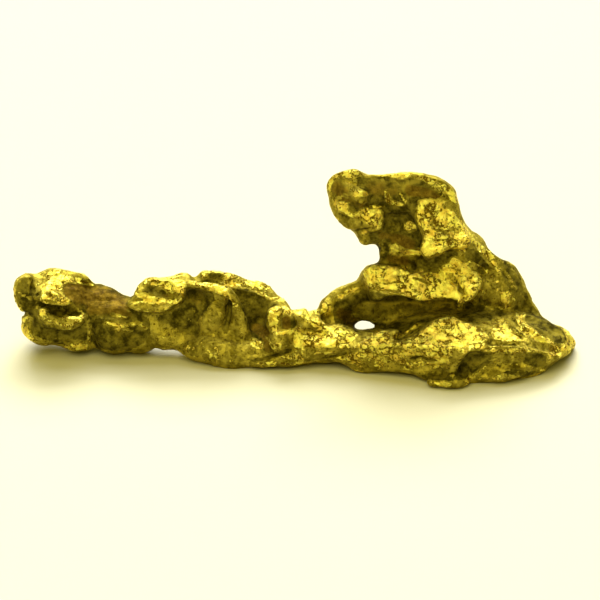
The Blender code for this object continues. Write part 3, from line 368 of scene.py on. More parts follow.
# Fine work on the show side, set after the masses: points of (across, rise), half width, height
FINE_LINES = [
    # knob: thin rims and the dark seams beside them
    ([(2.45, 5.42), (3.00, 5.20), (3.62, 4.90)], 0.09, 0.10),
    ([(2.05, 4.98), (2.80, 4.90), (3.65, 4.74)], 0.07, -0.10),
    ([(3.00, 4.15), (3.70, 4.12), (4.28, 4.26)], 0.06, 0.10),
    ([(3.00, 4.26), (3.50, 4.24), (4.00, 4.34)], 0.06, -0.09),
    ([(1.10, 5.25), (1.35, 5.10), (1.52, 5.00)], 0.06, 0.07),
    ([(1.60, 3.95), (1.55, 3.60), (1.62, 3.20)], 0.09, -0.10),
    ([(2.30, 6.10), (2.25, 5.70), (2.40, 5.35)], 0.08, -0.09),
    ([(3.30, 5.80), (3.25, 5.45), (3.50, 5.10)], 0.08, -0.08),
    ([(4.48, 3.75), (4.46, 3.30), (4.50, 2.80)], 0.06, 0.09),
    ([(2.80, 2.75), (3.40, 2.85), (4.30, 2.82)], 0.08, -0.08),
    # barrel
    ([(4.50, 5.20), (5.10, 5.00), (5.80, 5.05)], 0.08, -0.06),
    ([(5.00, 4.15), (5.60, 4.20), (6.20, 4.05), (6.90, 4.10)], 0.08, -0.08),
    ([(5.60, 3.55), (6.10, 3.60), (6.60, 3.45)], 0.09, 0.09),
    # leaf
    ([(7.40, 5.95), (8.10, 5.86), (8.70, 5.90)], 0.07, -0.05),
    ([(6.60, 4.95), (7.10, 5.05), (7.60, 4.98), (8.20, 5.00)], 0.07, -0.08),
    ([(7.60, 4.72), (8.20, 4.76), (8.80, 5.00)], 0.07, -0.06),
    # tongue, arch and hump
    ([(10.05, 4.60), (10.45, 4.45), (10.90, 4.40)], 0.06, -0.05),
    ([(10.95, 6.05), (11.30, 5.86), (11.80, 5.80)], 0.06, -0.08),
    ([(11.80, 6.00), (12.20, 5.72), (12.60, 5.66)], 0.06, -0.08),
    ([(12.60, 5.80), (12.95, 5.52), (13.30, 5.48)], 0.06, -0.08),
    ([(11.20, 5.72), (12.00, 5.50), (12.80, 5.30), (13.40, 5.12)], 0.07, 0.08),
    ([(13.50, 5.02), (13.95, 5.12), (14.25, 4.98)], 0.06, 0.08),
    # block and the broken bits beside it
    ([(13.98, 4.42), (14.00, 4.00), (13.96, 3.60)], 0.07, -0.12),
    ([(13.45, 3.45), (14.00, 3.38), (14.70, 3.48)], 0.07, 0.08),
    ([(14.70, 4.30), (14.82, 3.90), (14.74, 3.55)], 0.07, -0.12),
    ([(15.30, 4.05), (15.80, 3.88), (16.30, 3.80)], 0.07, 0.10),
    ([(15.00, 3.38), (15.50, 3.30), (16.00, 3.42)], 0.06, -0.12),
    ([(12.50, 3.15), (12.80, 2.95), (13.10, 2.80)], 0.07, 0.10),
    # bar
    ([(12.80, 2.00), (13.60, 2.16), (14.40, 2.42)], 0.06, -0.12),
    ([(15.60, 1.98), (16.60, 2.18), (17.40, 2.40)], 0.06, -0.10),
    ([(12.60, 1.90), (13.80, 2.02), (15.00, 1.92), (16.40, 2.05)], 0.07, -0.08),
    ([(15.30, 2.74), (16.20, 2.66), (17.20, 2.60)], 0.06, 0.08),
    # beak
    ([(16.60, 10.95), (16.75, 10.40), (16.60, 9.95)], 0.07, 0.07),
    ([(16.85, 10.92), (17.35, 10.95), (17.90, 10.70)], 0.07, -0.10),
    ([(17.50, 10.85), (17.90, 10.95), (18.25, 10.70)], 0.07, 0.08),
    ([(17.60, 10.20), (17.95, 10.35), (18.40, 10.42)], 0.07, 0.10),
    ([(16.60, 9.98), (17.20, 9.98), (17.80, 9.88)], 0.07, -0.10),
    ([(17.00, 9.62), (17.40, 9.32), (17.60, 9.16)], 0.06, 0.08),
    ([(17.30, 9.80), (17.80, 9.50), (18.10, 9.62)], 0.07, -0.10),
    ([(17.60, 9.02), (18.20, 9.08), (18.90, 8.95)], 0.07, -0.08),
    ([(18.30, 9.66), (18.70, 9.74), (19.20, 9.56)], 0.06, 0.10),
    ([(19.25, 10.35), (19.32, 10.00), (19.45, 9.85)], 0.08, 0.12),
    ([(19.45, 9.92), (19.80, 9.76), (20.10, 9.72)], 0.06, 0.10),
    ([(19.40, 11.20), (19.90, 11.05), (20.50, 11.16)], 0.07, 0.07),
    ([(21.45, 10.72), (22.00, 10.32), (22.50, 10.05)], 0.06, -0.12),
    ([(21.50, 10.95), (22.10, 10.55), (22.55, 10.25)], 0.08, 0.08),
    # neck
    ([(20.05, 7.42), (20.50, 7.48), (20.95, 7.40)], 0.07, 0.12),
    ([(19.60, 7.62), (19.75, 7.30), (19.55, 6.95)], 0.06, -0.08),
    ([(20.30, 9.00), (20.45, 8.72), (20.75, 8.55)], 0.09, 0.12),
    # cheek
    ([(21.20, 9.30), (21.70, 9.10), (22.10, 9.35)], 0.06, -0.09),
    ([(21.40, 8.30), (22.00, 8.50), (22.50, 8.25), (22.90, 8.45)], 0.07, -0.11),
    ([(21.90, 7.90), (22.40, 8.00), (22.90, 7.80)], 0.07, -0.10),
    ([(22.20, 9.60), (22.50, 9.20), (22.90, 9.00)], 0.06, -0.08),
    # brow
    ([(20.20, 6.30), (20.70, 6.10), (21.40, 6.05)], 0.06, -0.10),
    ([(21.00, 6.00), (21.40, 5.80), (21.00, 5.60)], 0.07, -0.08),
    ([(22.30, 6.42), (22.75, 5.95), (23.05, 5.40), (23.30, 5.00)], 0.07, -0.14),
    ([(22.95, 5.00), (23.00, 4.78), (22.92, 4.62)], 0.10, 0.16),
    ([(18.60, 6.10), (19.20, 5.86), (19.90, 5.92)], 0.07, -0.08),
    ([(18.90, 5.40), (19.60, 5.50), (20.40, 5.34)], 0.07, -0.08),
    ([(20.90, 5.20), (21.60, 5.34), (22.30, 5.22)], 0.06, -0.06),
    # the slope behind the brow
    ([(23.50, 6.95), (24.00, 6.70), (24.50, 6.25)], 0.07, 0.10),
    ([(23.30, 6.70), (24.00, 6.40), (24.40, 5.90)], 0.07, -0.12),
    ([(24.10, 6.55), (24.35, 6.30), (24.25, 6.05)], 0.06, 0.10),
    ([(24.90, 6.80), (25.30, 6.20), (25.60, 5.40)], 0.08, -0.10),
    ([(25.00, 5.60), (25.20, 5.20), (25.10, 4.85)], 0.09, 0.10),
    ([(23.60, 4.80), (24.20, 4.60), (24.70, 4.40)], 0.06, 0.08),
    # foot
    ([(17.60, 2.66), (19.00, 2.74), (20.40, 2.84), (21.80, 2.70), (23.20, 2.62)], 0.07, 0.07),
    ([(19.80, 3.00), (20.50, 3.40), (21.00, 3.75)], 0.08, -0.12),
    ([(19.50, 2.90), (19.52, 3.20), (19.40, 3.45)], 0.06, -0.08),
    ([(22.55, 3.95), (22.50, 3.40), (22.62, 2.85)], 0.06, -0.06),
    ([(24.10, 3.60), (24.50, 3.20), (24.55, 2.80)], 0.08, -0.14),
    ([(25.30, 3.95), (25.60, 3.40), (26.10, 3.10)], 0.07, -0.10),
    ([(25.90, 4.55), (25.75, 4.10), (26.20, 3.70), (26.90, 3.25), (27.40, 2.85)], 0.08, 0.10),
    ([(27.45, 3.60), (28.05, 3.25), (28.10, 2.80)], 0.08, -0.09),
    ([(24.30, 2.66), (25.20, 2.62), (26.30, 2.75)], 0.06, -0.10),
    ([(24.80, 2.30), (25.50, 2.20), (26.10, 2.35)], 0.07, -0.10),
    ([(20.45, 2.06), (20.90, 2.16), (21.40, 1.98)], 0.07, -0.10),
    ([(21.20, 1.60), (21.90, 1.75), (22.60, 1.70)], 0.07, -0.08),
    ([(23.35, 1.05), (23.60, 1.55), (24.20, 1.98), (25.00, 2.08)], 0.09, 0.12),
    ([(24.60, 1.30), (25.30, 1.42), (26.20, 1.30)], 0.07, -0.10),
    ([(23.80, 1.05), (24.40, 1.15), (25.10, 1.05)], 0.07, 0.08),
]

# Faces that pebbles have rubbed to bright metal, as outlines of (across, rise) in the view
RUBBED_FACES = [
    # knob
    [
        (2.30, 6.25), (2.60, 6.40), (2.90, 6.35), (3.20, 6.25), (3.30, 5.95), (3.15, 5.75), (3.20, 5.45),
        (3.00, 5.40), (2.85, 5.60), (2.50, 5.50), (2.25, 5.55), (2.20, 5.85), (2.35, 6.05),
    ],
    [
        (2.40, 5.40), (2.65, 5.35), (3.00, 5.15), (3.40, 5.00), (3.55, 4.85), (3.35, 4.75), (2.90, 4.95),
        (2.50, 5.15),
    ],
    [
        (3.20, 6.25), (3.60, 6.20), (4.20, 6.05), (4.70, 5.80), (4.80, 5.65), (4.30, 5.75), (3.70, 5.95),
        (3.30, 6.00),
    ],
    # leaf
    [
        (7.60, 6.00), (7.90, 6.10), (8.40, 6.10), (8.90, 6.00), (9.20, 5.85), (9.35, 5.60), (9.20, 5.30),
        (8.90, 5.35), (8.60, 5.25), (8.30, 5.45), (8.35, 5.65), (7.90, 5.70), (7.60, 5.80),
    ],
    [
        (6.90, 5.25), (7.15, 5.35), (7.50, 5.25), (7.80, 5.10), (7.80, 4.85), (7.50, 4.85), (7.10, 5.00),
    ],
    [
        (7.85, 4.95), (8.15, 5.10), (8.50, 5.05), (8.85, 5.10), (8.80, 4.85), (8.40, 4.80), (8.00, 4.80),
    ],
    [
        (6.60, 5.00), (6.90, 5.05), (7.00, 4.85), (6.70, 4.80),
    ],
    # arch
    [
        (9.80, 5.80), (10.30, 5.85), (10.75, 5.75), (11.15, 5.50), (11.40, 5.30), (11.20, 5.25),
        (10.80, 5.40), (10.40, 5.50), (10.00, 5.60),
    ],
    # hump
    [
        (10.95, 6.05), (11.30, 6.20), (11.65, 6.05), (11.80, 5.75), (11.45, 5.65), (11.10, 5.75),
    ],
    [
        (11.90, 5.95), (12.50, 5.95), (13.10, 5.80), (13.50, 5.70), (13.70, 5.40), (13.40, 5.40),
        (12.90, 5.60), (12.40, 5.75), (12.00, 5.75),
    ],
    # block
    [
        (13.40, 4.35), (13.55, 4.55), (13.80, 4.65), (14.20, 4.70), (14.50, 4.55), (14.55, 4.30),
        (14.25, 4.35), (14.05, 4.20), (13.95, 3.90), (13.90, 3.55), (14.20, 3.45), (14.55, 3.50),
        (14.55, 3.30), (14.10, 3.25), (13.65, 3.30), (13.55, 3.60), (13.40, 3.65),
    ],
    # belly speckle
    [
        (12.45, 2.95), (12.65, 3.15), (12.85, 3.10), (13.15, 2.90), (13.15, 2.60), (12.85, 2.55),
        (12.60, 2.70),
    ],
    # bar
    [
        (14.60, 3.10), (14.80, 3.50), (15.00, 3.70), (15.25, 3.50), (15.60, 3.45), (16.10, 3.60),
        (16.60, 3.60), (17.10, 3.50), (17.60, 3.45), (17.80, 3.20), (17.60, 2.90), (17.30, 2.80),
        (16.70, 2.70), (16.00, 2.65), (15.25, 2.60), (14.75, 2.65),
    ],
    [
        (15.00, 4.40), (15.30, 4.60), (15.60, 4.45), (15.50, 4.15), (15.15, 4.10),
    ],
    [
        (15.55, 3.90), (15.90, 4.10), (16.20, 3.95), (16.05, 3.70), (15.65, 3.70),
    ],
    # bridge
    [
        (15.90, 4.35), (16.10, 4.65), (16.35, 4.85), (16.55, 4.80), (16.60, 4.55), (16.45, 4.30),
        (16.15, 4.15),
    ],
    [
        (16.90, 5.20), (17.30, 5.50), (17.80, 5.65), (18.05, 5.60), (17.85, 5.45), (17.40, 5.30),
        (17.05, 5.05),
    ],
    # beak
    [
        (16.35, 10.50), (16.45, 10.90), (16.70, 11.15), (17.00, 11.35), (17.45, 11.45), (17.85, 11.40),
        (17.85, 11.15), (17.40, 11.10), (17.00, 11.15), (16.70, 11.00), (16.55, 10.70), (16.55, 10.35),
    ],
    [
        (17.65, 10.20), (17.85, 10.35), (18.00, 10.50), (18.20, 10.40), (18.35, 10.30), (18.25, 10.15),
        (17.90, 10.15),
    ],
    [
        (16.70, 9.85), (17.10, 9.90), (17.30, 9.75), (17.20, 9.60), (17.50, 9.35), (17.45, 9.25),
        (17.10, 9.45), (16.80, 9.50),
    ],
    [
        (17.60, 9.20), (17.90, 9.35), (18.20, 9.55), (18.50, 9.65), (18.80, 9.60), (19.05, 9.40),
        (19.10, 9.05), (19.05, 8.65), (18.95, 8.50), (18.75, 8.70), (18.40, 8.75), (18.25, 8.95),
        (18.00, 9.00), (17.70, 9.05),
    ],
    [
        (18.00, 8.45), (18.30, 8.45), (18.35, 8.25), (18.05, 8.25),
    ],
    # crown
    [
        (19.20, 9.90), (19.25, 10.35), (19.35, 10.40), (19.50, 10.10), (19.40, 9.85),
    ],
    [
        (19.45, 9.75), (19.60, 9.95), (19.85, 9.85), (20.10, 9.75), (19.75, 9.70),
    ],
    [
        (19.50, 11.20), (19.85, 11.35), (20.30, 11.35), (20.55, 11.20), (20.20, 11.00), (19.90, 11.00),
    ],
    [
        (20.80, 11.15), (21.30, 11.10), (21.85, 10.85), (22.45, 10.55), (22.80, 10.20), (22.90, 9.85),
        (22.60, 9.95), (22.20, 10.25), (21.60, 10.55), (21.35, 10.85),
    ],
    # cheek
    [
        (20.85, 9.60), (21.00, 9.90), (21.30, 10.05), (21.60, 10.05), (21.80, 9.80), (22.20, 9.60),
        (22.65, 9.40), (22.95, 9.10), (23.20, 8.75), (23.50, 8.40), (23.65, 8.00), (23.45, 7.70),
        (23.20, 7.40), (22.95, 7.40), (22.70, 7.50), (22.30, 7.60), (22.20, 7.30), (21.90, 7.40),
        (21.50, 7.30), (21.25, 7.20), (21.05, 7.55), (21.20, 7.85), (21.50, 7.95), (21.25, 8.05),
        (21.20, 8.60), (20.95, 8.75), (20.85, 9.20),
    ],
    [
        (20.20, 8.80), (20.50, 8.95), (20.70, 8.75), (20.80, 8.45), (20.45, 8.40), (20.25, 8.55),
    ],
    [
        (20.15, 7.40), (20.50, 7.50), (20.95, 7.45), (21.00, 7.25), (20.60, 7.20), (20.20, 7.25),
    ],
    [
        (19.55, 7.65), (19.80, 7.85), (19.90, 7.60), (19.75, 7.30), (19.55, 7.35),
    ],
    # brow
    [
        (18.20, 6.35), (18.45, 6.65), (19.15, 6.75), (19.65, 6.65), (20.20, 6.75), (20.55, 6.70),
        (20.35, 6.40), (20.60, 6.30), (21.05, 6.55), (21.50, 6.40), (21.90, 6.25), (21.95, 6.60),
        (22.30, 6.80), (22.50, 7.10), (22.65, 7.20), (22.95, 6.95), (23.25, 6.80), (23.70, 6.50),
        (24.10, 6.20), (23.90, 5.90), (23.75, 5.70), (23.50, 5.45), (23.85, 5.15), (23.90, 4.90),
        (23.65, 4.80), (23.35, 5.05), (23.20, 4.75), (23.15, 4.45), (22.85, 4.55), (22.95, 4.90),
        (22.85, 5.05), (22.20, 5.05), (21.60, 5.15), (21.50, 4.80), (21.15, 4.95), (20.85, 5.10),
        (20.55, 5.20), (20.00, 5.40), (19.50, 5.50), (18.90, 5.70), (18.30, 5.70),
    ],
    # shoulder
    [
        (25.00, 5.30), (25.20, 5.45), (25.40, 5.30), (25.45, 4.95), (25.25, 4.70), (25.05, 4.95),
    ],
    [
        (23.70, 7.95), (23.95, 7.85), (24.30, 7.55), (24.70, 7.15), (24.80, 6.70), (24.60, 6.85),
        (24.30, 7.25), (23.85, 7.65),
    ],
    # table
    [
        (19.75, 2.85), (20.25, 3.05), (20.90, 3.35), (21.25, 3.55), (21.60, 3.85), (22.00, 4.15),
        (22.55, 4.20), (23.05, 4.05), (23.70, 3.75), (24.25, 3.50), (24.30, 3.20), (23.95, 2.90),
        (23.95, 2.70), (23.30, 2.65), (22.35, 2.70), (21.50, 2.80), (20.60, 2.85),
    ],
    [
        (19.65, 3.10), (19.95, 3.30), (20.40, 3.55), (20.85, 3.85), (20.95, 3.75), (20.55, 3.45),
        (20.05, 3.15), (19.70, 2.95),
    ],
    [
        (17.85, 2.75), (18.10, 3.05), (18.50, 3.30), (18.90, 3.50), (19.40, 3.45), (19.45, 3.10),
        (19.40, 2.75), (18.80, 2.65), (18.10, 2.65),
    ],
    # side table
    [
        (24.60, 3.95), (24.95, 4.10), (25.35, 4.00), (25.65, 3.75), (25.40, 3.65), (25.60, 3.45),
        (25.95, 3.25), (26.35, 3.10), (25.90, 3.00), (25.30, 3.00), (24.70, 3.05), (24.55, 3.25),
        (24.70, 3.55),
    ],
    [
        (25.80, 3.85), (25.95, 4.25), (26.15, 4.40), (26.30, 4.30), (26.15, 4.05), (26.40, 3.65),
        (26.90, 3.35), (27.35, 3.15), (27.60, 2.90), (27.15, 2.85), (26.80, 2.95), (26.40, 3.25),
        (26.00, 3.50),
    ],
    # tip
    [
        (28.15, 3.60), (28.45, 3.50), (28.65, 3.20), (28.75, 2.90), (28.70, 2.65), (28.40, 2.50),
        (28.10, 2.55), (28.35, 2.85), (28.30, 3.20),
    ],
    [
        (27.40, 2.65), (27.80, 2.75), (28.15, 2.60), (28.00, 2.35), (27.60, 2.15), (27.40, 2.30),
    ],
    # crust
    [
        (21.50, 0.90), (21.90, 0.95), (22.45, 0.92), (22.60, 0.80), (22.40, 0.70), (21.90, 0.70),
    ],
]

# Faces that keep their dark stain, and two painted dark as shade on the side turned from the light: the
# band along the right slope's edge and the tip slope
STAINED_AND_SHADED_FACES = [
    # knob: the left lobe's flat, the grooves and the pockets under the lips
    [
        (0.90, 5.85), (1.20, 6.10), (1.60, 6.15), (1.75, 5.80), (1.65, 5.20), (1.70, 4.60), (2.00, 4.40),
        (1.90, 4.10), (1.50, 4.20), (1.20, 4.40), (0.95, 4.85), (0.80, 5.40),
    ],
    [
        (2.60, 4.85), (3.00, 4.80), (3.55, 4.70), (3.65, 4.50), (3.10, 4.55), (2.60, 4.65),
    ],
    [
        (2.50, 4.45), (2.80, 4.45), (3.20, 4.25), (2.90, 4.20), (2.55, 4.25),
    ],
    [
        (1.65, 4.05), (2.00, 4.05), (2.40, 3.80), (3.00, 3.50), (3.60, 3.45), (4.20, 3.70), (4.40, 3.50),
        (4.30, 3.00), (3.60, 2.95), (2.80, 2.85), (2.20, 2.95), (1.70, 3.20), (1.60, 3.60),
    ],
    # the barrel and the waist
    [
        (3.00, 5.65), (3.30, 5.80), (4.00, 5.75), (4.80, 5.65), (5.40, 5.45), (5.90, 5.15), (6.20, 4.85),
        (6.40, 4.40), (7.00, 4.20), (7.50, 3.95), (7.50, 3.30), (7.20, 2.80), (6.50, 2.50), (5.60, 2.45),
        (4.85, 2.55), (4.65, 3.00), (4.65, 3.90), (4.40, 4.35), (3.80, 4.65), (3.60, 5.00), (3.20, 5.35),
    ],
    # leaf streak
    [
        (7.00, 5.55), (7.35, 5.70), (7.80, 5.65), (8.30, 5.45), (8.40, 5.20), (7.90, 5.15), (7.40, 5.30),
        (7.05, 5.35),
    ],
    # beside the tongue
    [
        (9.30, 5.50), (9.50, 5.70), (10.00, 5.65), (10.40, 5.45), (10.70, 5.15), (10.60, 4.85),
        (10.15, 4.35), (9.85, 4.00), (9.85, 3.60), (9.90, 3.25), (9.50, 3.35), (9.00, 3.60),
        (8.40, 3.90), (7.90, 4.00), (8.00, 4.20), (8.60, 4.30), (9.00, 4.60), (9.25, 5.05),
    ],
    [
        (11.40, 5.10), (11.55, 4.85), (11.60, 4.40), (11.45, 3.80), (11.40, 3.30), (11.20, 3.35),
        (11.30, 3.90), (11.40, 4.50),
    ],
    # the hump's face
    [
        (10.30, 6.30), (10.65, 6.45), (11.10, 6.35), (11.00, 6.10), (10.50, 6.10),
    ],
    [
        (11.40, 5.60), (11.90, 5.65), (12.60, 5.50), (13.20, 5.15), (13.60, 4.90), (14.20, 4.85),
        (13.90, 4.70), (13.45, 4.55), (13.30, 4.20), (13.30, 3.50), (12.80, 3.40), (12.35, 3.55),
        (12.20, 4.10), (11.90, 4.80), (11.60, 5.25),
    ],
    # block
    [
        (14.10, 4.10), (14.35, 4.25), (14.70, 4.15), (14.85, 3.80), (14.70, 3.55), (14.30, 3.50),
        (14.05, 3.65),
    ],
    [
        (12.15, 3.45), (12.80, 3.35), (13.20, 3.20), (13.40, 2.85), (13.60, 2.45), (13.40, 2.30),
        (13.10, 2.50), (12.90, 2.90), (12.30, 3.20),
    ],
    # beak and crown
    [
        (16.70, 10.85), (16.90, 11.00), (17.30, 10.95), (17.50, 10.60), (17.40, 10.30), (16.90, 10.25),
        (16.55, 10.40), (16.55, 10.65),
    ],
    [
        (17.90, 11.10), (18.60, 11.10), (19.40, 11.15), (19.90, 10.90), (20.60, 11.00), (21.20, 10.90),
        (21.50, 10.50), (22.00, 10.20), (21.60, 10.05), (21.00, 10.00), (20.70, 9.60), (20.80, 9.10),
        (20.90, 8.60), (21.10, 8.20), (21.00, 7.70), (20.50, 7.50), (19.90, 7.80), (19.30, 7.70),
        (19.10, 8.10), (19.20, 8.70), (19.20, 9.40), (18.90, 9.70), (18.40, 9.80), (18.40, 10.20),
        (18.10, 10.55), (17.80, 10.80),
    ],
    [
        (17.50, 9.85), (17.90, 9.85), (18.10, 9.65), (17.70, 9.45), (17.40, 9.55),
    ],
    [
        (18.50, 8.40), (19.10, 8.30), (19.10, 7.90), (18.50, 7.90),
    ],
    # throat and the slope behind the cheek
    [
        (19.20, 7.20), (19.80, 7.10), (20.60, 7.10), (21.20, 7.00), (21.80, 7.10), (22.20, 7.10),
        (22.50, 6.80), (22.00, 6.75), (21.70, 6.40), (21.20, 6.60), (20.60, 6.75), (19.80, 6.75),
        (19.20, 6.80),
    ],
    [
        (23.30, 7.50), (23.70, 7.55), (24.10, 7.15), (24.40, 6.70), (24.20, 6.50), (23.70, 6.80),
        (23.20, 7.15),
    ],
    [
        (24.00, 5.80), (24.35, 5.95), (24.90, 5.80), (25.40, 5.20), (26.10, 4.60), (25.90, 4.40),
        (25.40, 4.20), (24.70, 4.20), (24.00, 4.60), (23.90, 5.00), (24.20, 5.40),
    ],
    # the band along the right slope's edge: painted shade on its side turned from the light
    [
        (25.00, 6.90), (25.60, 6.20), (26.20, 5.30), (26.70, 4.60), (27.00, 4.30), (26.40, 4.40),
        (25.80, 5.00), (25.20, 5.90), (24.90, 6.60),
    ],
    # long hollow
    [
        (16.85, 4.95), (17.20, 5.15), (17.80, 5.30), (18.20, 5.50), (18.80, 5.40), (19.50, 5.30),
        (20.10, 5.15), (20.70, 5.00), (21.40, 4.70), (22.20, 4.95), (22.75, 4.90), (22.80, 4.45),
        (23.30, 4.40), (23.50, 4.75), (24.00, 4.70), (24.70, 4.20), (24.50, 4.00), (24.00, 3.85),
        (23.40, 4.00), (22.60, 4.30), (22.00, 4.30), (21.50, 3.95), (20.90, 3.90), (20.20, 3.50),
        (19.60, 3.30), (19.00, 3.60), (18.40, 3.40), (17.30, 3.50), (16.80, 3.90), (16.65, 4.50),
    ],
    # tip slope: painted shade, the facet turned away from the light
    [
        (26.25, 4.25), (26.50, 4.40), (26.80, 4.25), (27.10, 4.00), (27.60, 3.75), (28.00, 3.50),
        (28.25, 3.25), (28.20, 2.95), (27.90, 2.85), (27.60, 2.95), (27.10, 3.40), (26.50, 3.75),
    ],
    # foot: scoop and the flats under the tip
    [
        (23.10, 2.20), (23.45, 2.40), (23.95, 2.45), (24.35, 2.30), (24.80, 2.10), (24.45, 1.85),
        (23.85, 1.55), (23.35, 1.20), (23.10, 1.05), (22.60, 1.10), (22.80, 1.50), (22.95, 1.85),
    ],
    [
        (26.15, 2.30), (26.50, 2.40), (27.00, 2.35), (27.30, 2.15), (27.25, 1.75), (26.70, 1.65),
        (26.20, 1.80),
    ],
    [
        (25.20, 1.50), (25.70, 1.60), (26.40, 1.50), (26.90, 1.40), (26.50, 1.20), (25.80, 1.15),
        (25.30, 1.25),
    ],
    [
        (21.00, 1.30), (21.80, 1.30), (22.60, 1.20), (22.40, 1.00), (21.70, 1.05), (21.10, 1.10),
    ],
]

# Broad darkening that lies under the rubbed faces, as strokes like the ones below: mostly dark stain,
# with painted shade on the tip slope and along the right slope's edge
SHADES = [
    ([(2.60, 6.00), (3.60, 5.90), (4.60, 5.75)], 0.40, -0.20),
    ([(10.30, 5.20), (9.80, 4.90), (9.50, 4.30), (9.50, 3.70)], 0.40, -0.50),
    ([(8.40, 3.95), (9.20, 3.85)], 0.30, -0.30),
    ([(12.60, 4.90), (12.80, 4.20), (13.10, 3.60)], 0.45, -0.35),
    ([(4.50, 5.85), (5.40, 5.55), (6.20, 5.10), (6.70, 4.85)], 0.30, -0.60),
    ([(2.00, 4.10), (2.80, 3.85), (3.80, 3.90)], 0.24, -0.22),
    ([(16.60, 10.60), (17.20, 9.60), (18.40, 8.60)], 1.10, -0.25),
    ([(18.60, 10.40), (20.40, 10.60), (21.80, 10.60)], 0.90, -0.30),
    ([(19.30, 7.40), (19.40, 6.80), (20.60, 6.90), (22.40, 7.10)], 0.50, -0.40),
    # painted shade: the tip slope, turned away from the light
    ([(26.60, 4.10), (27.20, 3.80), (28.00, 3.30)], 0.42, -0.95),
    # painted shade: the band along the right slope's edge, its side turned from the light
    ([(25.30, 6.90), (25.70, 6.20), (26.20, 5.20), (26.70, 4.30)], 0.30, -0.45),
    ([(21.50, 0.95), (22.90, 0.85)], 0.30, -0.30),
]
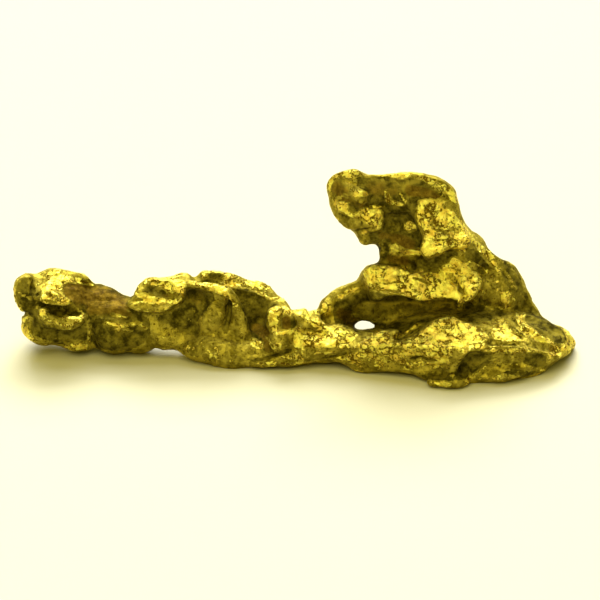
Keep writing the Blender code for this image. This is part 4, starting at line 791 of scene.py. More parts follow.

# Edges and specks that are rubbed bright, thin dark seams, and first some broad faint strokes of painted
# fill light: points of (across, rise), half width, strength. A negative strength is a seam.
RUBBED_AND_FILL_LIGHT = [
    # broad and faint: painted fill light on the hollow's back and the fronts of the foot and the bar, a
    # lighter colour standing in for light these shaded faces lack; and a lighter colour on the pocket behind
    # the brow
    ([(18.00, 4.40), (19.20, 4.36), (20.60, 4.40), (22.60, 4.55)], 0.55, 0.52),
    ([(18.00, 2.10), (20.00, 2.20), (22.00, 2.10)], 0.60, 0.30),
    ([(24.80, 2.20), (26.00, 2.20)], 0.50, 0.14),
    ([(24.20, 5.60), (24.80, 5.20), (25.60, 4.70)], 0.50, 0.40),
    ([(14.40, 2.20), (15.60, 2.30), (17.00, 2.30)], 0.45, 0.12),
    # knob
    ([(0.92, 5.38), (1.55, 5.07)], 0.05, 0.7),
    ([(0.75, 5.55), (0.72, 4.95), (1.00, 4.60)], 0.09, 0.35),
    ([(1.55, 5.85), (1.95, 5.75)], 0.08, 0.3),
    ([(2.15, 4.30), (2.60, 3.90), (3.30, 3.70), (4.00, 3.95)], 0.16, 0.22),
    ([(3.00, 4.15), (3.60, 4.12), (4.22, 4.26)], 0.06, 0.9),
    ([(2.15, 5.20), (2.60, 5.05), (3.30, 4.78)], 0.12, 0.18),
    ([(1.30, 4.00), (1.15, 3.60), (1.40, 3.15)], 0.24, 0.35),
    ([(2.20, 3.20), (3.40, 3.10), (4.20, 3.30)], 0.30, 0.16),
    ([(3.00, 2.58), (4.40, 2.68)], 0.12, 0.35),
    ([(3.20, 2.95), (3.60, 2.80), (4.20, 2.90)], 0.06, 0.35),
    ([(4.55, 3.70), (4.48, 2.95)], 0.05, 0.5),
    # barrel
    ([(5.40, 3.86), (6.00, 3.72), (6.70, 3.76)], 0.10, 0.72),
    ([(5.80, 3.48), (6.60, 3.42)], 0.09, 0.66),
    ([(5.60, 4.26), (6.30, 4.12)], 0.09, 0.6),
    ([(6.90, 3.90), (7.30, 3.60)], 0.10, 0.6),
    # leaf
    ([(6.60, 4.62), (7.20, 4.42), (7.90, 4.32), (8.50, 4.46), (9.00, 4.85), (9.26, 5.40)], 0.05, 0.35),
    ([(8.60, 6.15), (9.20, 6.22)], 0.14, 0.25),
    # tongue, arch and hump
    ([(10.20, 4.30), (9.86, 3.90), (9.90, 3.40)], 0.05, 0.35),
    ([(11.28, 5.10), (11.40, 4.60), (11.25, 3.95)], 0.05, 0.45),
    ([(11.70, 5.05), (12.05, 4.50), (12.50, 3.90)], 0.06, 0.30),
    ([(10.10, 6.15), (10.40, 6.42), (11.00, 6.44), (11.60, 6.20)], 0.06, 0.55),
    ([(9.60, 4.60), (9.75, 4.40)], 0.06, 0.7),
    ([(9.40, 4.10), (9.55, 3.95)], 0.05, 0.7),
    ([(13.60, 5.08), (14.20, 4.98)], 0.09, 0.4),
    ([(12.60, 5.55), (13.20, 5.30), (13.60, 5.05)], 0.06, 0.55),
    # bits beside the block, and the crevice over the bar's lip
    ([(14.85, 4.50), (15.30, 4.45)], 0.16, 0.8),
    ([(15.20, 3.98), (15.90, 3.82), (16.30, 3.75)], 0.08, 0.6),
    ([(12.60, 1.98), (13.50, 2.16), (14.50, 2.46)], 0.07, -0.7),
    ([(15.40, 1.98), (16.40, 2.12), (17.30, 2.36)], 0.06, -0.5),
    # foot
    ([(18.00, 2.66), (19.40, 2.72), (21.00, 2.74), (22.40, 2.62)], 0.05, 0.5),
    ([(20.50, 2.05), (21.00, 2.16), (21.60, 1.90)], 0.08, -0.5),
    ([(20.90, 1.80), (21.60, 1.75), (22.20, 2.00)], 0.10, 0.30),
    ([(23.40, 2.76), (23.95, 2.88)], 0.06, -0.9),
    ([(23.35, 1.00), (23.80, 1.36), (24.30, 1.73), (24.85, 1.92)], 0.09, 0.35),
    ([(25.20, 1.80), (26.20, 1.74), (27.30, 1.45)], 0.06, 0.45),
    ([(26.10, 1.10), (27.10, 1.32)], 0.07, 0.25),
    ([(24.60, 2.50), (25.50, 2.45), (26.40, 2.62)], 0.12, 0.20),
    ([(25.20, 2.70), (26.00, 2.62)], 0.10, -0.6),
    ([(25.42, 3.83), (25.90, 3.40), (26.22, 3.15)], 0.06, -0.9),
    ([(23.85, 3.98), (24.30, 3.86)], 0.05, 0.7),
    # beak and crown
    ([(19.28, 10.38), (19.36, 10.05), (19.50, 9.82)], 0.12, 1.1),
    ([(19.50, 9.84), (19.80, 9.80), (20.06, 9.74)], 0.08, 1.0),
    ([(20.30, 8.64), (20.50, 8.78), (20.66, 8.60)], 0.13, 1.0),
    ([(16.70, 9.90), (16.95, 9.70), (17.30, 9.66)], 0.14, 0.8),
    ([(17.00, 9.50), (17.30, 9.34), (17.50, 9.24)], 0.10, 0.8),
    ([(17.70, 10.20), (18.00, 10.34), (18.34, 10.26)], 0.09, 1.0),
    ([(18.10, 9.34), (18.60, 9.40), (18.90, 9.20)], 0.24, 0.4),
    ([(19.56, 7.70), (19.74, 7.50), (19.64, 7.32)], 0.12, 0.9),
    ([(20.10, 7.36), (20.60, 7.40), (21.00, 7.34)], 0.10, 0.9),
    ([(17.30, 10.95), (17.80, 10.80)], 0.11, 0.50),
    ([(17.45, 10.55), (17.75, 10.35)], 0.06, 0.5),
    ([(16.40, 10.14), (17.10, 10.10)], 0.05, 0.5),
    ([(16.30, 9.90), (16.60, 9.30), (17.00, 8.95)], 0.08, 0.15),
    ([(18.50, 9.76), (18.80, 9.64), (19.20, 9.68)], 0.05, 1.0),
    ([(18.60, 11.00), (19.20, 10.95)], 0.07, 0.45),
    ([(20.00, 10.30), (20.15, 10.05), (20.25, 9.85)], 0.05, 0.8),
    ([(20.70, 9.98), (21.60, 9.75), (22.40, 9.95)], 0.12, 0.25),
    # cheek's and brow's seams
    ([(21.00, 9.50), (21.50, 9.30), (21.70, 8.95), (22.10, 8.90)], 0.06, -0.7),
    ([(21.30, 8.95), (21.60, 8.80), (21.50, 8.45)], 0.05, -0.7),
    ([(22.30, 9.00), (22.70, 8.80), (23.10, 8.75)], 0.05, -0.7),
    ([(21.60, 7.70), (22.00, 7.75), (22.30, 7.60), (22.80, 7.75)], 0.06, -0.7),
    ([(22.30, 8.40), (22.50, 8.10), (22.90, 8.00), (23.20, 8.15)], 0.05, -0.7),
    ([(18.60, 6.40), (19.10, 6.20), (19.40, 6.30), (19.90, 6.05)], 0.06, -0.6),
    ([(18.70, 5.90), (19.30, 5.80), (19.80, 5.92)], 0.05, -0.6),
    ([(20.60, 5.60), (21.20, 5.40), (21.90, 5.44), (22.30, 5.26)], 0.05, -0.6),
    ([(21.40, 6.20), (21.90, 6.02), (22.20, 5.70)], 0.05, -0.6),
    ([(22.90, 6.60), (23.10, 6.25), (23.60, 6.10)], 0.05, -0.6),
    ([(22.10, 9.42), (22.60, 9.10)], 0.07, -0.5),
    ([(21.60, 8.62), (22.10, 8.40), (22.70, 8.55)], 0.09, -0.55),
    ([(21.50, 8.10), (22.20, 8.00), (22.70, 8.20)], 0.07, -0.45),
    ([(20.68, 6.12), (21.05, 5.98), (21.35, 5.82)], 0.08, -1.0),
    ([(22.57, 6.30), (22.90, 5.75), (23.10, 5.30)], 0.07, -1.0),
    ([(19.60, 5.90), (20.10, 5.60), (20.80, 5.40)], 0.16, -0.30),
    # the slope behind the cheek and the brow
    ([(24.00, 7.55), (24.50, 7.05), (24.95, 6.50)], 0.12, 0.60),
    ([(25.05, 6.60), (25.45, 6.15), (25.80, 5.60)], 0.08, 0.60),
    ([(24.60, 6.15), (24.90, 5.80), (24.85, 5.50)], 0.10, 0.50),
    ([(26.05, 5.30), (26.40, 4.80)], 0.07, 0.60),
    ([(23.90, 5.60), (24.20, 5.35), (24.20, 5.05)], 0.08, 0.50),
    ([(24.60, 4.75), (25.10, 4.60), (25.50, 4.70)], 0.07, 0.50),
    ([(23.38, 6.96), (24.00, 6.66), (24.36, 6.36)], 0.05, 0.8),
    ([(24.20, 6.60), (24.55, 6.40), (24.52, 6.10)], 0.05, 0.7),
    ([(24.10, 4.78), (24.65, 4.52)], 0.05, 0.8),
    ([(25.20, 6.30), (25.60, 5.60)], 0.07, 0.35),
]

# Where the stain is rust brown instead of olive: strokes as above, strength
BROWN = [
    ([(3.70, 5.50), (4.80, 5.20), (5.80, 4.90)], 0.60, 0.9),
    ([(4.60, 4.50), (5.60, 4.50), (6.40, 4.40)], 0.30, 0.5),
    ([(16.85, 10.60), (17.20, 10.20)], 0.36, 1.1),
    ([(20.50, 10.45), (21.40, 10.30), (22.00, 9.95)], 0.26, 1.1),
    ([(19.10, 8.20), (20.00, 8.10), (20.60, 7.80)], 0.25, 0.8),
    ([(17.10, 4.30), (17.60, 4.00)], 0.30, 0.9),
    ([(18.60, 10.60), (19.60, 10.50)], 0.40, 0.5),
    ([(17.60, 9.85), (18.20, 9.70)], 0.25, 0.6),
    ([(14.30, 4.10), (14.35, 3.75)], 0.25, 1.0),
    ([(12.80, 3.60), (13.30, 3.20), (13.40, 2.60)], 0.28, 0.8),
    ([(19.50, 7.10), (20.20, 6.95)], 0.26, 0.9),
    ([(19.80, 7.90), (20.30, 7.60)], 0.30, 0.8),
    ([(24.10, 5.50), (24.70, 5.10), (25.60, 4.60)], 0.36, 0.8),
    ([(17.60, 4.20), (18.40, 4.10)], 0.30, 0.8),
    ([(20.20, 4.60), (21.20, 4.50)], 0.30, 0.7),
    ([(8.20, 5.20), (8.60, 5.15)], 0.14, 0.8),
    ([(21.00, 5.80), (21.40, 5.70)], 0.18, 0.7),
]

# Where a paler colour lifts the stain: dried silt, and in the long hollow painted fill light for its
# shade: strokes as above, strength
SILT_AND_FILL_LIGHT = [
    # painted fill light: the long hollow's shade lifted by the pale colour
    ([(18.50, 4.45), (19.60, 4.42), (20.60, 4.45), (22.30, 4.58)], 0.50, 1.3),
    ([(16.80, 10.60), (17.60, 10.30)], 0.50, 0.40),
    ([(18.60, 10.60), (20.00, 10.70), (21.60, 10.40)], 0.45, 0.28),
    ([(24.20, 5.50), (25.20, 5.00)], 0.50, 0.32),
]

SCARS = 420  # small dents over the whole skin
SCAR_RADIUS = (0.16, 0.50)
SCAR_DEPTH = (0.015, 0.05)
TIGHT_FIT = 1.5  # a stone that would sink in by this many times its depth doesn't reach the skin

BROAD_GRAIN = [(2.2, 0.16), (0.9, 0.10)]  # size of the lumps, height
FINE_GRAIN = [(0.50, 0.040), (0.28, 0.020)]
CRUMPLES = [(0.85, 0.07), (0.42, 0.05)]  # size of the lumps, depth of the creases between them
CRUMPLE_LEVEL = 0.7  # the height on a crumple that leaves the skin where it was
CREASE_WANDER = 0.6  # how far creases stray from straight, for lumps of size 1
WANDER_PITCH = 1.3
CREASE_SLOPE = 2.2  # how steeply a crumple rises out of its creases
CREASE_SEED = 7  # noise vectors start from the clock unless they are seeded

# How a curve is followed
RIM_STEPS = 3
RIDGE_STEPS = 5
STROKE_STEPS = 12
RIDGE_TIP = 0.3  # a ridge's thickness at its ends, as a share of its full one
RIDGE_SWELL = 0.25  # the share that it gains with each step from an end
FADE_SHARE = 0.25  # the share of a line's length over which each end fades
LINE_REACH = 3.0  # how many half widths away a line still moves the skin
STROKE_REACH = 2.0  # how many half widths away a stroke still covers the skin
DEEPEST_RUB = 1.2  # how far in front or behind a stroke's line it still reaches
SOFT_EDGE = 0.07  # half the width over which a rubbed or stained face fades out
NO_SLOPE = 1e-9  # stands in for the rise of a level edge

# What counts as seen from the show side: how far a point's normal may turn from the viewer
EDGE_ON = 0.15
STROKE_EDGE_ON = 0.10
CLEARANCE = 0.05
BLENDED_ROUNDS = 6

# How open to wear a point is
WAYS_OUT = 14
LIFT_OFF = 0.12
CLOSE_BY = 2.2  # how near something must be to shelter a point
OUTWARD_PULL = 1.02  # over 1, so that every way out leaves the skin
GOLDEN_TURN = math.pi * (3.0 - math.sqrt(5.0))
USUAL_OPENNESS = 0.90

# How far a point stands proud is measured against the skin that lies this many mesh rounds about it
FINE_ROUNDS = 3
CLOSE_ROUNDS = 5
BROAD_ROUNDS = 40

# What standing proud, lying open and chance each add to the wear, the size of chance's patches, and where
# it all starts: on the sides that have no rubbed faces drawn, and on the show side under those faces
NATURAL_WEAR = (0.22, 0.80, 0.90, 1.6, -0.08)
SHOWN_WEAR = (0.08, 0.30, 0.15, 1.5, 0.05)
PATCH_SEED = 5.0
FACE_RUB = 0.75
FACE_STAIN_AND_SHADE = 0.70
MOST_WEAR = 1.5
CRINKLE_FROM = 0.15  # the wear at which the finest relief sets in
CRINKLE_SPAN = 0.35  # the further wear that brings it out in full
SMOOTHEST = 0.25  # how much of the fine relief a face that isn't rubbed has
CHANCE_RUST = (1.8, 9.0, 0.5)  # size of its patches, seed, amount
RUST_LIMITS = (-1.0, 1.5)

# The finish. Its patterns: size in millimetres, levels of detail, roughness
WEAR_CLOUDS = (0.50, 4.0, 0.62)
STAIN_CLOUDS = (0.50, 5.0, 0.68)
RUST_CLOUDS = (0.35, 5.0, 0.68)
SILT_AND_FILL_CLOUDS = (0.50, 4.0, 0.62)
SKIN_CLOUDS = (0.55, 5.0, 0.68)
SKIN_SPECKS = (0.14, 3.0, 0.60)
METAL_CLOUDS = (0.45, 4.0, 0.65)
SEAM_LINES = (0.55, 5.0, 0.65)
SEAM_BREAKS = (0.90, 2.0, 0.50)
PITS = (0.22, 3.0, 0.60)
PIT_GROUPS = (1.20, 2.0, 0.50)
GLOSS_CLOUDS = (0.30, 2.0, 0.50)
TOOTH = (0.34, 5.0, 0.62)
FINE_TOOTH = (0.14, 2.0, 0.50)

# How strongly a pattern or a value tells against the one it is added to
PROUD_ON_WEAR = 0.10
CLOUDS_ON_WEAR = 0.9
TOOTH_ON_WEAR = 0.6
CLOUDS_ON_RUST = 1.8
CLOUDS_ON_SILT_AND_FILL = 0.8
BREAKS_ON_SEAMS = 0.16
GROUPS_ON_PITS = 0.30
SILT_AND_FILL_ON_METAL = -0.40
CLOUDS_ON_GLOSS = 0.12
FINE_ON_TOOTH = 0.5
SEAMS_ON_TOOTH = 0.25

# Where each state of the skin sets in and where it is complete
RUBBED_FROM = (1.05, 1.14)
CLEAN_FROM = (0.40, 0.66)
METAL_FROM = (0.30, 0.66)
RUST_FROM = (1.10, 1.75)
SILT_AND_FILL_FROM = (0.45, 1.30)
BESIDE_SEAMS = (0.088, 0.112)
BETWEEN_PITS = (0.46, 0.53)
STAIN_SPREAD = (0.38, 0.62)
SKIN_SPREAD = (0.36, 0.62)
SPECK_SPREAD = (0.34, 0.44)
METAL_SPREAD = (0.40, 0.60)

MOST_RUST = 0.75
STAINED_METAL = 0.60  # how metallic the stained skin is
ROUGHNESS = (0.50, 0.28)  # of the dull skin and of the rubbed metal
RELIEF_SHARE = (0.7, 1.3)  # the fine relief on the dull skin and on the rubbed metal
RELIEF_METRES = 0.00013
NOISE_MIDDLE = 0.5
GRAINS_PER_METRE = 1000.0  # one unit of a noise texture is one metre divided by its scale
FAINT_GLOSS = 0.12

# The olive stain's colours also paint the shade on the tip slope and the right slope's edge; the dull skin's
# and the dried silt's colours also paint fill light on shaded faces
OLIVE_STAIN_AND_SHADE = ("#40390A", "#847828")
RUST_FILM = ("#543E0A", "#846A20")
DRIED_SILT_AND_FILL_LIGHT = "#DCC84A"
DULL_SKIN_AND_FILL_LIGHT = ("#766A1C", "#BEAE42")
DARK_SPECK = "#665810"
RUBBED_METAL = ("#EACE50", "#FFF468")
PITTED_METAL = "#6C5810"
GLINT = ("#7A6C30", "#FFF4D0")  # the edge tint of the stained skin and of clean metal

# The studio. Lamps: name, azimuth and height in degrees, distance, size in metres, power in watts, colour
PAPER = "#CECCB8"
PAPER_ROUGHNESS = 0.9
PAPER_GLOSS = 0.1
FLOOR_HALF = 3.0  # in metres
ROOM = "#FFF468"
ROOM_STRENGTH = 0.24
LAMPS = [
    ("back_window", 180.0, 44.0, 0.8, 0.5, 7.6, "#FFFFFF"),
    ("roof_window", 180.0, 64.0, 0.8, 0.9, 7.8, "#FFFFFF"),
    ("front_window", -10.0, 50.0, 0.8, 0.6, 4.2, "#FFF2A0"),
]
FRAME_WIDTH = 30.0  # the view is this wide at the nugget
AIM = (15.0, 5.0)  # across and rise of the view's middle
LENS = 800.0
SENSOR = 36.0
CLIP_METRES = (0.01, 20.0)


def place(across, rise, back):
    """The point of the nugget that is seen at (across, rise) and lies that far back."""
    return Vector((across, back, (rise - FLOOR_RISE - back * SIN) / COS))


def in_scene(name, data):
    """A new object of that data, put in the scene."""
    made = bpy.data.objects.new(name, data)
    bpy.context.scene.collection.objects.link(made)
    return made


def rounded_path(points, steps, closed):
    """A Catmull-Rom curve through the points, with that many steps between neighbours."""
    points = [np.array(p, float) for p in points]
    count = len(points)
    path = []
    for i in range(count if closed else count - 1):
        if closed:
            a, b, c, d = (points[(i + k - 1) % count] for k in range(4))
        else:
            a, b, c, d = (points[min(max(i + k - 1, 0), count - 1)] for k in range(4))
        for step in range(steps):
            t = step / steps
            path.append(0.5 * (2 * b + (c - a) * t + (2 * a - 5 * b + 4 * c - d) * t**2
                               + (3 * b - a - 3 * c + d) * t**3))
    if not closed:
        path.append(points[-1])
    return path


def add_lump(clay, across, rise, back, wide, deep, tall, turn, along_sight=False):
    """An egg-shaped lump, turned anticlockwise in the view."""
    tilt = Matrix.Rotation(-math.radians(SIGHT_DEG), 4, "X") if along_sight else Matrix.Identity(4)
    matrix = (
        Matrix.Translation(place(across, rise, back))
        @ tilt
        @ Matrix.Rotation(-math.radians(turn), 4, "Y")
        @ Matrix.Diagonal((wide, deep, tall, 1.0))
    )
    bmesh.ops.create_icosphere(clay, subdivisions=4, radius=1.0, matrix=matrix)


def add_slab(clay, outline, face, rest, lean, swing):
    """A plate with that outline in the view, cut along the line of sight, between a shaped face and a
    plain one. The shaped face leans back by lean for each millimetre of rise, and swings back by swing for
    each millimetre across."""
    path = rounded_path(outline, RIM_STEPS, closed=True)
    middle = np.mean(path, axis=0)
    shaped, plain = [], []
    for across, rise in path:
        back = face + lean * (rise - middle[1]) + swing * (across - middle[0])
        shaped.append(clay.verts.new(place(across, rise, back)))
        plain.append(clay.verts.new(place(across, rise, rest)))
    near, far = (shaped, plain) if face < rest else (plain, shaped)
    clay.faces.new(near)
    clay.faces.new(reversed(far))
    for i in range(len(near)):
        j = (i + 1) % len(near)
        clay.faces.new((near[j], near[i], far[i], far[j]))


def add_ridges(clay, ridges):
    """Round ridges of changing thickness: one bevelled curve, with a spline for each ridge."""
    curve = bpy.data.curves.new("ridges", "CURVE")
    curve.dimensions = "3D"
    curve.bevel_depth = 1.0
    curve.bevel_resolution = 2
    curve.use_fill_caps = True
    for ridge in ridges:
        path = rounded_path(ridge, RIDGE_STEPS, closed=False)
        spline = curve.splines.new("POLY")
        spline.points.add(len(path) - 1)
        for i, (point, (across, rise, back, radius)) in enumerate(zip(spline.points, path)):
            from_end = min(i, len(path) - 1 - i)
            point.co = (*place(across, rise, back), 1.0)
            point.radius = radius * min(1.0, RIDGE_TIP + RIDGE_SWELL * from_end)
    helper = in_scene("ridges", curve)
    graph = bpy.context.evaluated_depsgraph_get()
    clay.from_mesh(bpy.data.meshes.new_from_object(helper.evaluated_get(graph)))
    bpy.data.objects.remove(helper)


def evaluated(mesh, set_modifiers):
    """The mesh after the modifiers that set_modifiers puts on an object of it."""
    helper = in_scene("helper", mesh)
    set_modifiers(helper)
    graph = bpy.context.evaluated_depsgraph_get()
    result = bpy.data.meshes.new_from_object(helper.evaluated_get(graph))
    bpy.data.objects.remove(helper)
    return result


def fused(mesh, voxel, smoothings=0):
    """One skin over every shell in the mesh, with its sharp edges eased."""

    def set_modifiers(helper):
        remesh = helper.modifiers.new("fuse", "REMESH")
        remesh.mode = "VOXEL"
        remesh.voxel_size = voxel
        if smoothings:
            smooth = helper.modifiers.new("ease", "SMOOTH")
            smooth.factor = 0.5
            smooth.iterations = smoothings

    return evaluated(mesh, set_modifiers)


def mesh_of(clay):
    mesh = bpy.data.meshes.new("clay")
    clay.to_mesh(mesh)
    clay.free()
    return mesh


def cut(mesh, cutter_mesh):
    """The mesh with the cutter's volume taken out of it."""
    cutter = in_scene("cutter", cutter_mesh)

    def set_modifiers(helper):
        boolean = helper.modifiers.new("cut", "BOOLEAN")
        boolean.operation = "DIFFERENCE"
        boolean.object = cutter

    result = evaluated(mesh, set_modifiers)
    bpy.data.objects.remove(cutter)
    return result


def blocked_in():
    """The nugget's masses in one skin, with its hollows cut."""
    clay = bmesh.new()
    for lump in KNOB_LUMPS + FOLD_LUMPS + BAR_LUMPS + FOOT_LUMPS + FIN_LUMPS:
        add_lump(clay, *lump)
    for slab in SLABS:
        add_slab(clay, *slab)
    add_ridges(clay, RIDGES)
    body = fused(mesh_of(clay), BLOCK_VOXEL)
    cutters = bmesh.new()
    for slab in HOLLOW_SLABS:
        add_slab(cutters, *slab)
    for hollow in HOLLOWS:
        add_lump(cutters, *hollow, along_sight=True)
    return cut(body, fused(mesh_of(cutters), BLOCK_VOXEL))


def largest_shell(mesh):
    """The mesh without the small shells that a remesh can leave inside it or beside it."""
    clay = bmesh.new()
    clay.from_mesh(mesh)
    shells, left = [], set(clay.verts)
    while left:
        shell, edge = set(), [left.pop()]
        while edge:
            vert = edge.pop()
            shell.add(vert)
            for side in vert.link_edges:
                other = side.other_vert(vert)
                if other in left:
                    left.remove(other)
                    edge.append(other)
        shells.append(shell)
    shells.sort(key=len)
    bmesh.ops.delete(clay, geom=[vert for shell in shells[:-1] for vert in shell], context="VERTS")
    return mesh_of(clay)


def rows_of(things, name, width, kind=np.float32):
    """One row of numbers for each of the mesh's points, normals or edges."""
    flat = np.empty(len(things) * width, kind)
    things.foreach_get(name, flat)
    return flat.reshape(-1, width)


def positions(mesh):
    return rows_of(mesh.vertices, "co", 3).astype(float)


def normals(mesh):
    return rows_of(mesh.vertex_normals, "vector", 3).astype(float)


def edges_of(mesh):
    return rows_of(mesh.edges, "vertices", 2, np.int32)


def set_positions(mesh, points):
    mesh.vertices.foreach_set("co", points.astype(np.float32).ravel())
    mesh.update()


def skin_tree(mesh):
    return BVHTree.FromPolygons([v.co for v in mesh.vertices], [p.vertices for p in mesh.polygons])


def on_show_side(tree, across, rise):
    """The skin's point that is seen at (across, rise), and its normal."""
    return tree.ray_cast(place(across, rise, -FAR), SIGHT)[:2]


def on_far_side(tree, across, height):
    return tree.ray_cast(Vector((across, FAR, height)), Vector((0.0, -1.0, 0.0)))[:2]


def spots_along(tree, line, find):
    """The places on the skin under a smooth line, their normals, and how much the line fades there."""
    path = rounded_path(line, STROKE_STEPS, closed=False)
    spots, facing, fades = [], [], []
    for i, (across, rise) in enumerate(path):
        spot, normal = find(tree, across, rise)
        if spot is not None:
            from_end = min(i + 1, len(path) - i)
            spots.append(spot)
            facing.append(normal)
            fades.append(min(1.0, from_end / (FADE_SHARE * len(path))))
    return np.array(spots), np.array(facing), np.array(fades)


def around(points, spots, reach):
    """Which points lie in the box round the spots, or no further than reach outside it."""
    return np.all((points > spots.min(axis=0) - reach) & (points < spots.max(axis=0) + reach), axis=1)


def draw_lines(mesh, lines, find):
    """Raises a ridge, or sinks a crease, along each line. It fades out at both of the line's ends."""
    tree = skin_tree(mesh)
    points, outward = positions(mesh), normals(mesh)
    for line, width, height in lines:
        spots, facing, fades = spots_along(tree, line, find)
        if not len(spots):
            continue
        close = around(points, spots, LINE_REACH * width)
        offset = points[close][:, None, :] - spots[None, :, :]
        near = np.exp(-np.einsum("ijk,ijk->ij", offset, offset) / width**2)
        strength = fades * near * (outward[close] @ facing.T > 0.0)
        points[close] += outward[close] * (height * strength.max(axis=1))[:, None]
    set_positions(mesh, points)


def strokes_on(mesh, strokes):
    """How much of each stroke every point of the skin has. A stroke covers what is seen within its half
    width on the show side, with a soft edge."""
    tree = skin_tree(mesh)
    points, outward = positions(mesh), normals(mesh)
    sight = np.array(SIGHT)
    shown = outward @ sight < STROKE_EDGE_ON
    amount = np.zeros(len(points))
    for line, width, strength in strokes:
        spots, _, _ = spots_along(tree, line, on_show_side)
        if not len(spots):
            continue
        close = shown & around(points, spots, STROKE_REACH * width + DEEPEST_RUB)
        offset = points[close][:, None, :] - spots[None, :, :]
        depth = offset @ sight
        sideways = np.einsum("ijk,ijk->ij", offset, offset) - depth**2
        cover = np.exp(-(sideways / width**2) ** 2 - (depth / DEEPEST_RUB) ** 2)
        amount[close] += strength * cover.max(axis=1)
    return amount


def in_sight(mesh):
    """Which points of the skin are seen from the show side."""
    tree = skin_tree(mesh)
    points, outward = positions(mesh), normals(mesh)
    seen = outward @ np.array(SIGHT) < EDGE_ON
    for i in np.flatnonzero(seen):
        start = Vector(points[i] + outward[i] * CLEARANCE)
        seen[i] = tree.ray_cast(start, -SIGHT, FAR)[0] is None
    return seen


def faces_on(mesh, seen, outlines):
    """How much each point of the skin lies inside the outlines: 1 inside, 0 outside, with a soft edge."""
    points = positions(mesh)
    across, rise = points[:, 0], FLOOR_RISE + COS * points[:, 2] + SIN * points[:, 1]
    spots = np.stack([across, rise], axis=1)
    amount = np.zeros(len(points))
    for outline in outlines:
        corners = np.array(outline)
        close = np.flatnonzero(seen & around(spots, corners, SOFT_EDGE))
        inside = np.zeros(len(close), bool)
        nearest = np.full(len(close), FAR)
        for start, end in zip(corners, np.roll(corners, -1, axis=0)):
            along, out = end - start, spots[close] - start
            share = np.clip(out @ along / (along @ along), 0.0, 1.0)
            nearest = np.minimum(nearest, np.linalg.norm(out - share[:, None] * along, axis=1))
            spans = (start[1] > spots[close, 1]) != (end[1] > spots[close, 1])
            left_of = (out[:, 0] - along[0] * out[:, 1] / (along[1] or NO_SLOPE)) < 0.0
            inside ^= spans & left_of
        signed = np.where(inside, nearest, -nearest)
        amount[close] = np.maximum(amount[close], np.clip(0.5 + 0.5 * signed / SOFT_EDGE, 0.0, 1.0))
    return amount


def knock_dents(mesh, count, radii, depths, seed):
    """Presses round stones of random size into the skin, which leaves hollows with crisp rims."""
    tree = skin_tree(mesh)
    points = positions(mesh)
    low, high = points.min(axis=0), points.max(axis=0)
    draw = np.random.default_rng(seed)
    for _ in range(count):
        spot, normal = tree.find_nearest(Vector(draw.uniform(low, high)))[:2]
        radius, depth = draw.uniform(*radii), draw.uniform(*depths)
        stone = np.array(spot + normal * (radius - depth))
        offset = points - stone
        reach = np.linalg.norm(offset, axis=1)
        if reach.min() < radius - TIGHT_FIT * depth:
            continue  # the skin is hollow there, so that stone can't get in
        inside = reach < radius
        points[inside] = stone + offset[inside] * (radius / reach[inside])[:, None]
    set_positions(mesh, points)


def grain(points, size, seed=0.0):
    """Smooth noise from about -1 to 1 at each point, with lumps of that size."""
    shift = Vector((seed, 2.0 * seed, 3.0 * seed))
    return np.array([noise.noise(Vector(point) / size + shift) for point in points])


def crumpled(points, size):
    """Rounded lumps of that size with crisp creases between them: 0 in a crease, 1 on a lump."""
    heights = np.empty(len(points))
    for i, point in enumerate(points):
        at = Vector(point) / size
        near, next_near = noise.voronoi(at + CREASE_WANDER * noise.noise_vector(WANDER_PITCH * at))[0][:2]
        heights[i] = min(1.0, CREASE_SLOPE * (next_near - near))
    return heights


def grained(points, layers):
    """How far noise moves each point out. Each layer is (size of its lumps, height)."""
    return sum(height * grain(points, size) for size, height in layers)


def move_out(mesh, moved):
    set_positions(mesh, positions(mesh) + normals(mesh) * moved[:, None])


def averaged(values, edges, rounds):
    """The values after each point has been mixed with its neighbours that many times."""
    count = len(values)
    first = np.concatenate([edges[:, 0], edges[:, 1]])
    second = np.concatenate([edges[:, 1], edges[:, 0]])
    shares = np.bincount(first, minlength=count)[:, None]
    for _ in range(rounds):
        columns = [np.bincount(first, column[second], count) for column in values.T]
        values = 0.5 * values + 0.5 * np.stack(columns, axis=1) / shares
    return values


def standing_proud(mesh, rounds):
    """How far each point stands out from its surroundings, in its usual amounts, from -2 to 2."""
    points, outward = positions(mesh), normals(mesh)
    proud = np.einsum("ij,ij->i", points - averaged(points, edges_of(mesh), rounds), outward)
    return np.clip(proud / proud.std(), -2.0, 2.0)


def open_to_wear(mesh):
    """The share of straight ways out from each point that nothing close by blocks."""
    tree = skin_tree(mesh)
    points, outward = positions(mesh), normals(mesh)
    turns = np.arange(WAYS_OUT) + 0.5
    lifts = 1.0 - 2.0 * turns / WAYS_OUT
    headings = GOLDEN_TURN * turns
    ways = np.stack([np.cos(headings), np.sin(headings), lifts], axis=1)
    ways[:, :2] *= np.sqrt(1.0 - lifts**2)[:, None]
    clear = np.zeros(len(points))
    for i, (point, out) in enumerate(zip(points, outward)):
        start = Vector(point + out * LIFT_OFF)
        for way in ways:
            heading = Vector(way + out * OUTWARD_PULL)
            if tree.ray_cast(start, heading, CLOSE_BY)[0] is None:
                clear[i] += 1.0
    return clear / WAYS_OUT


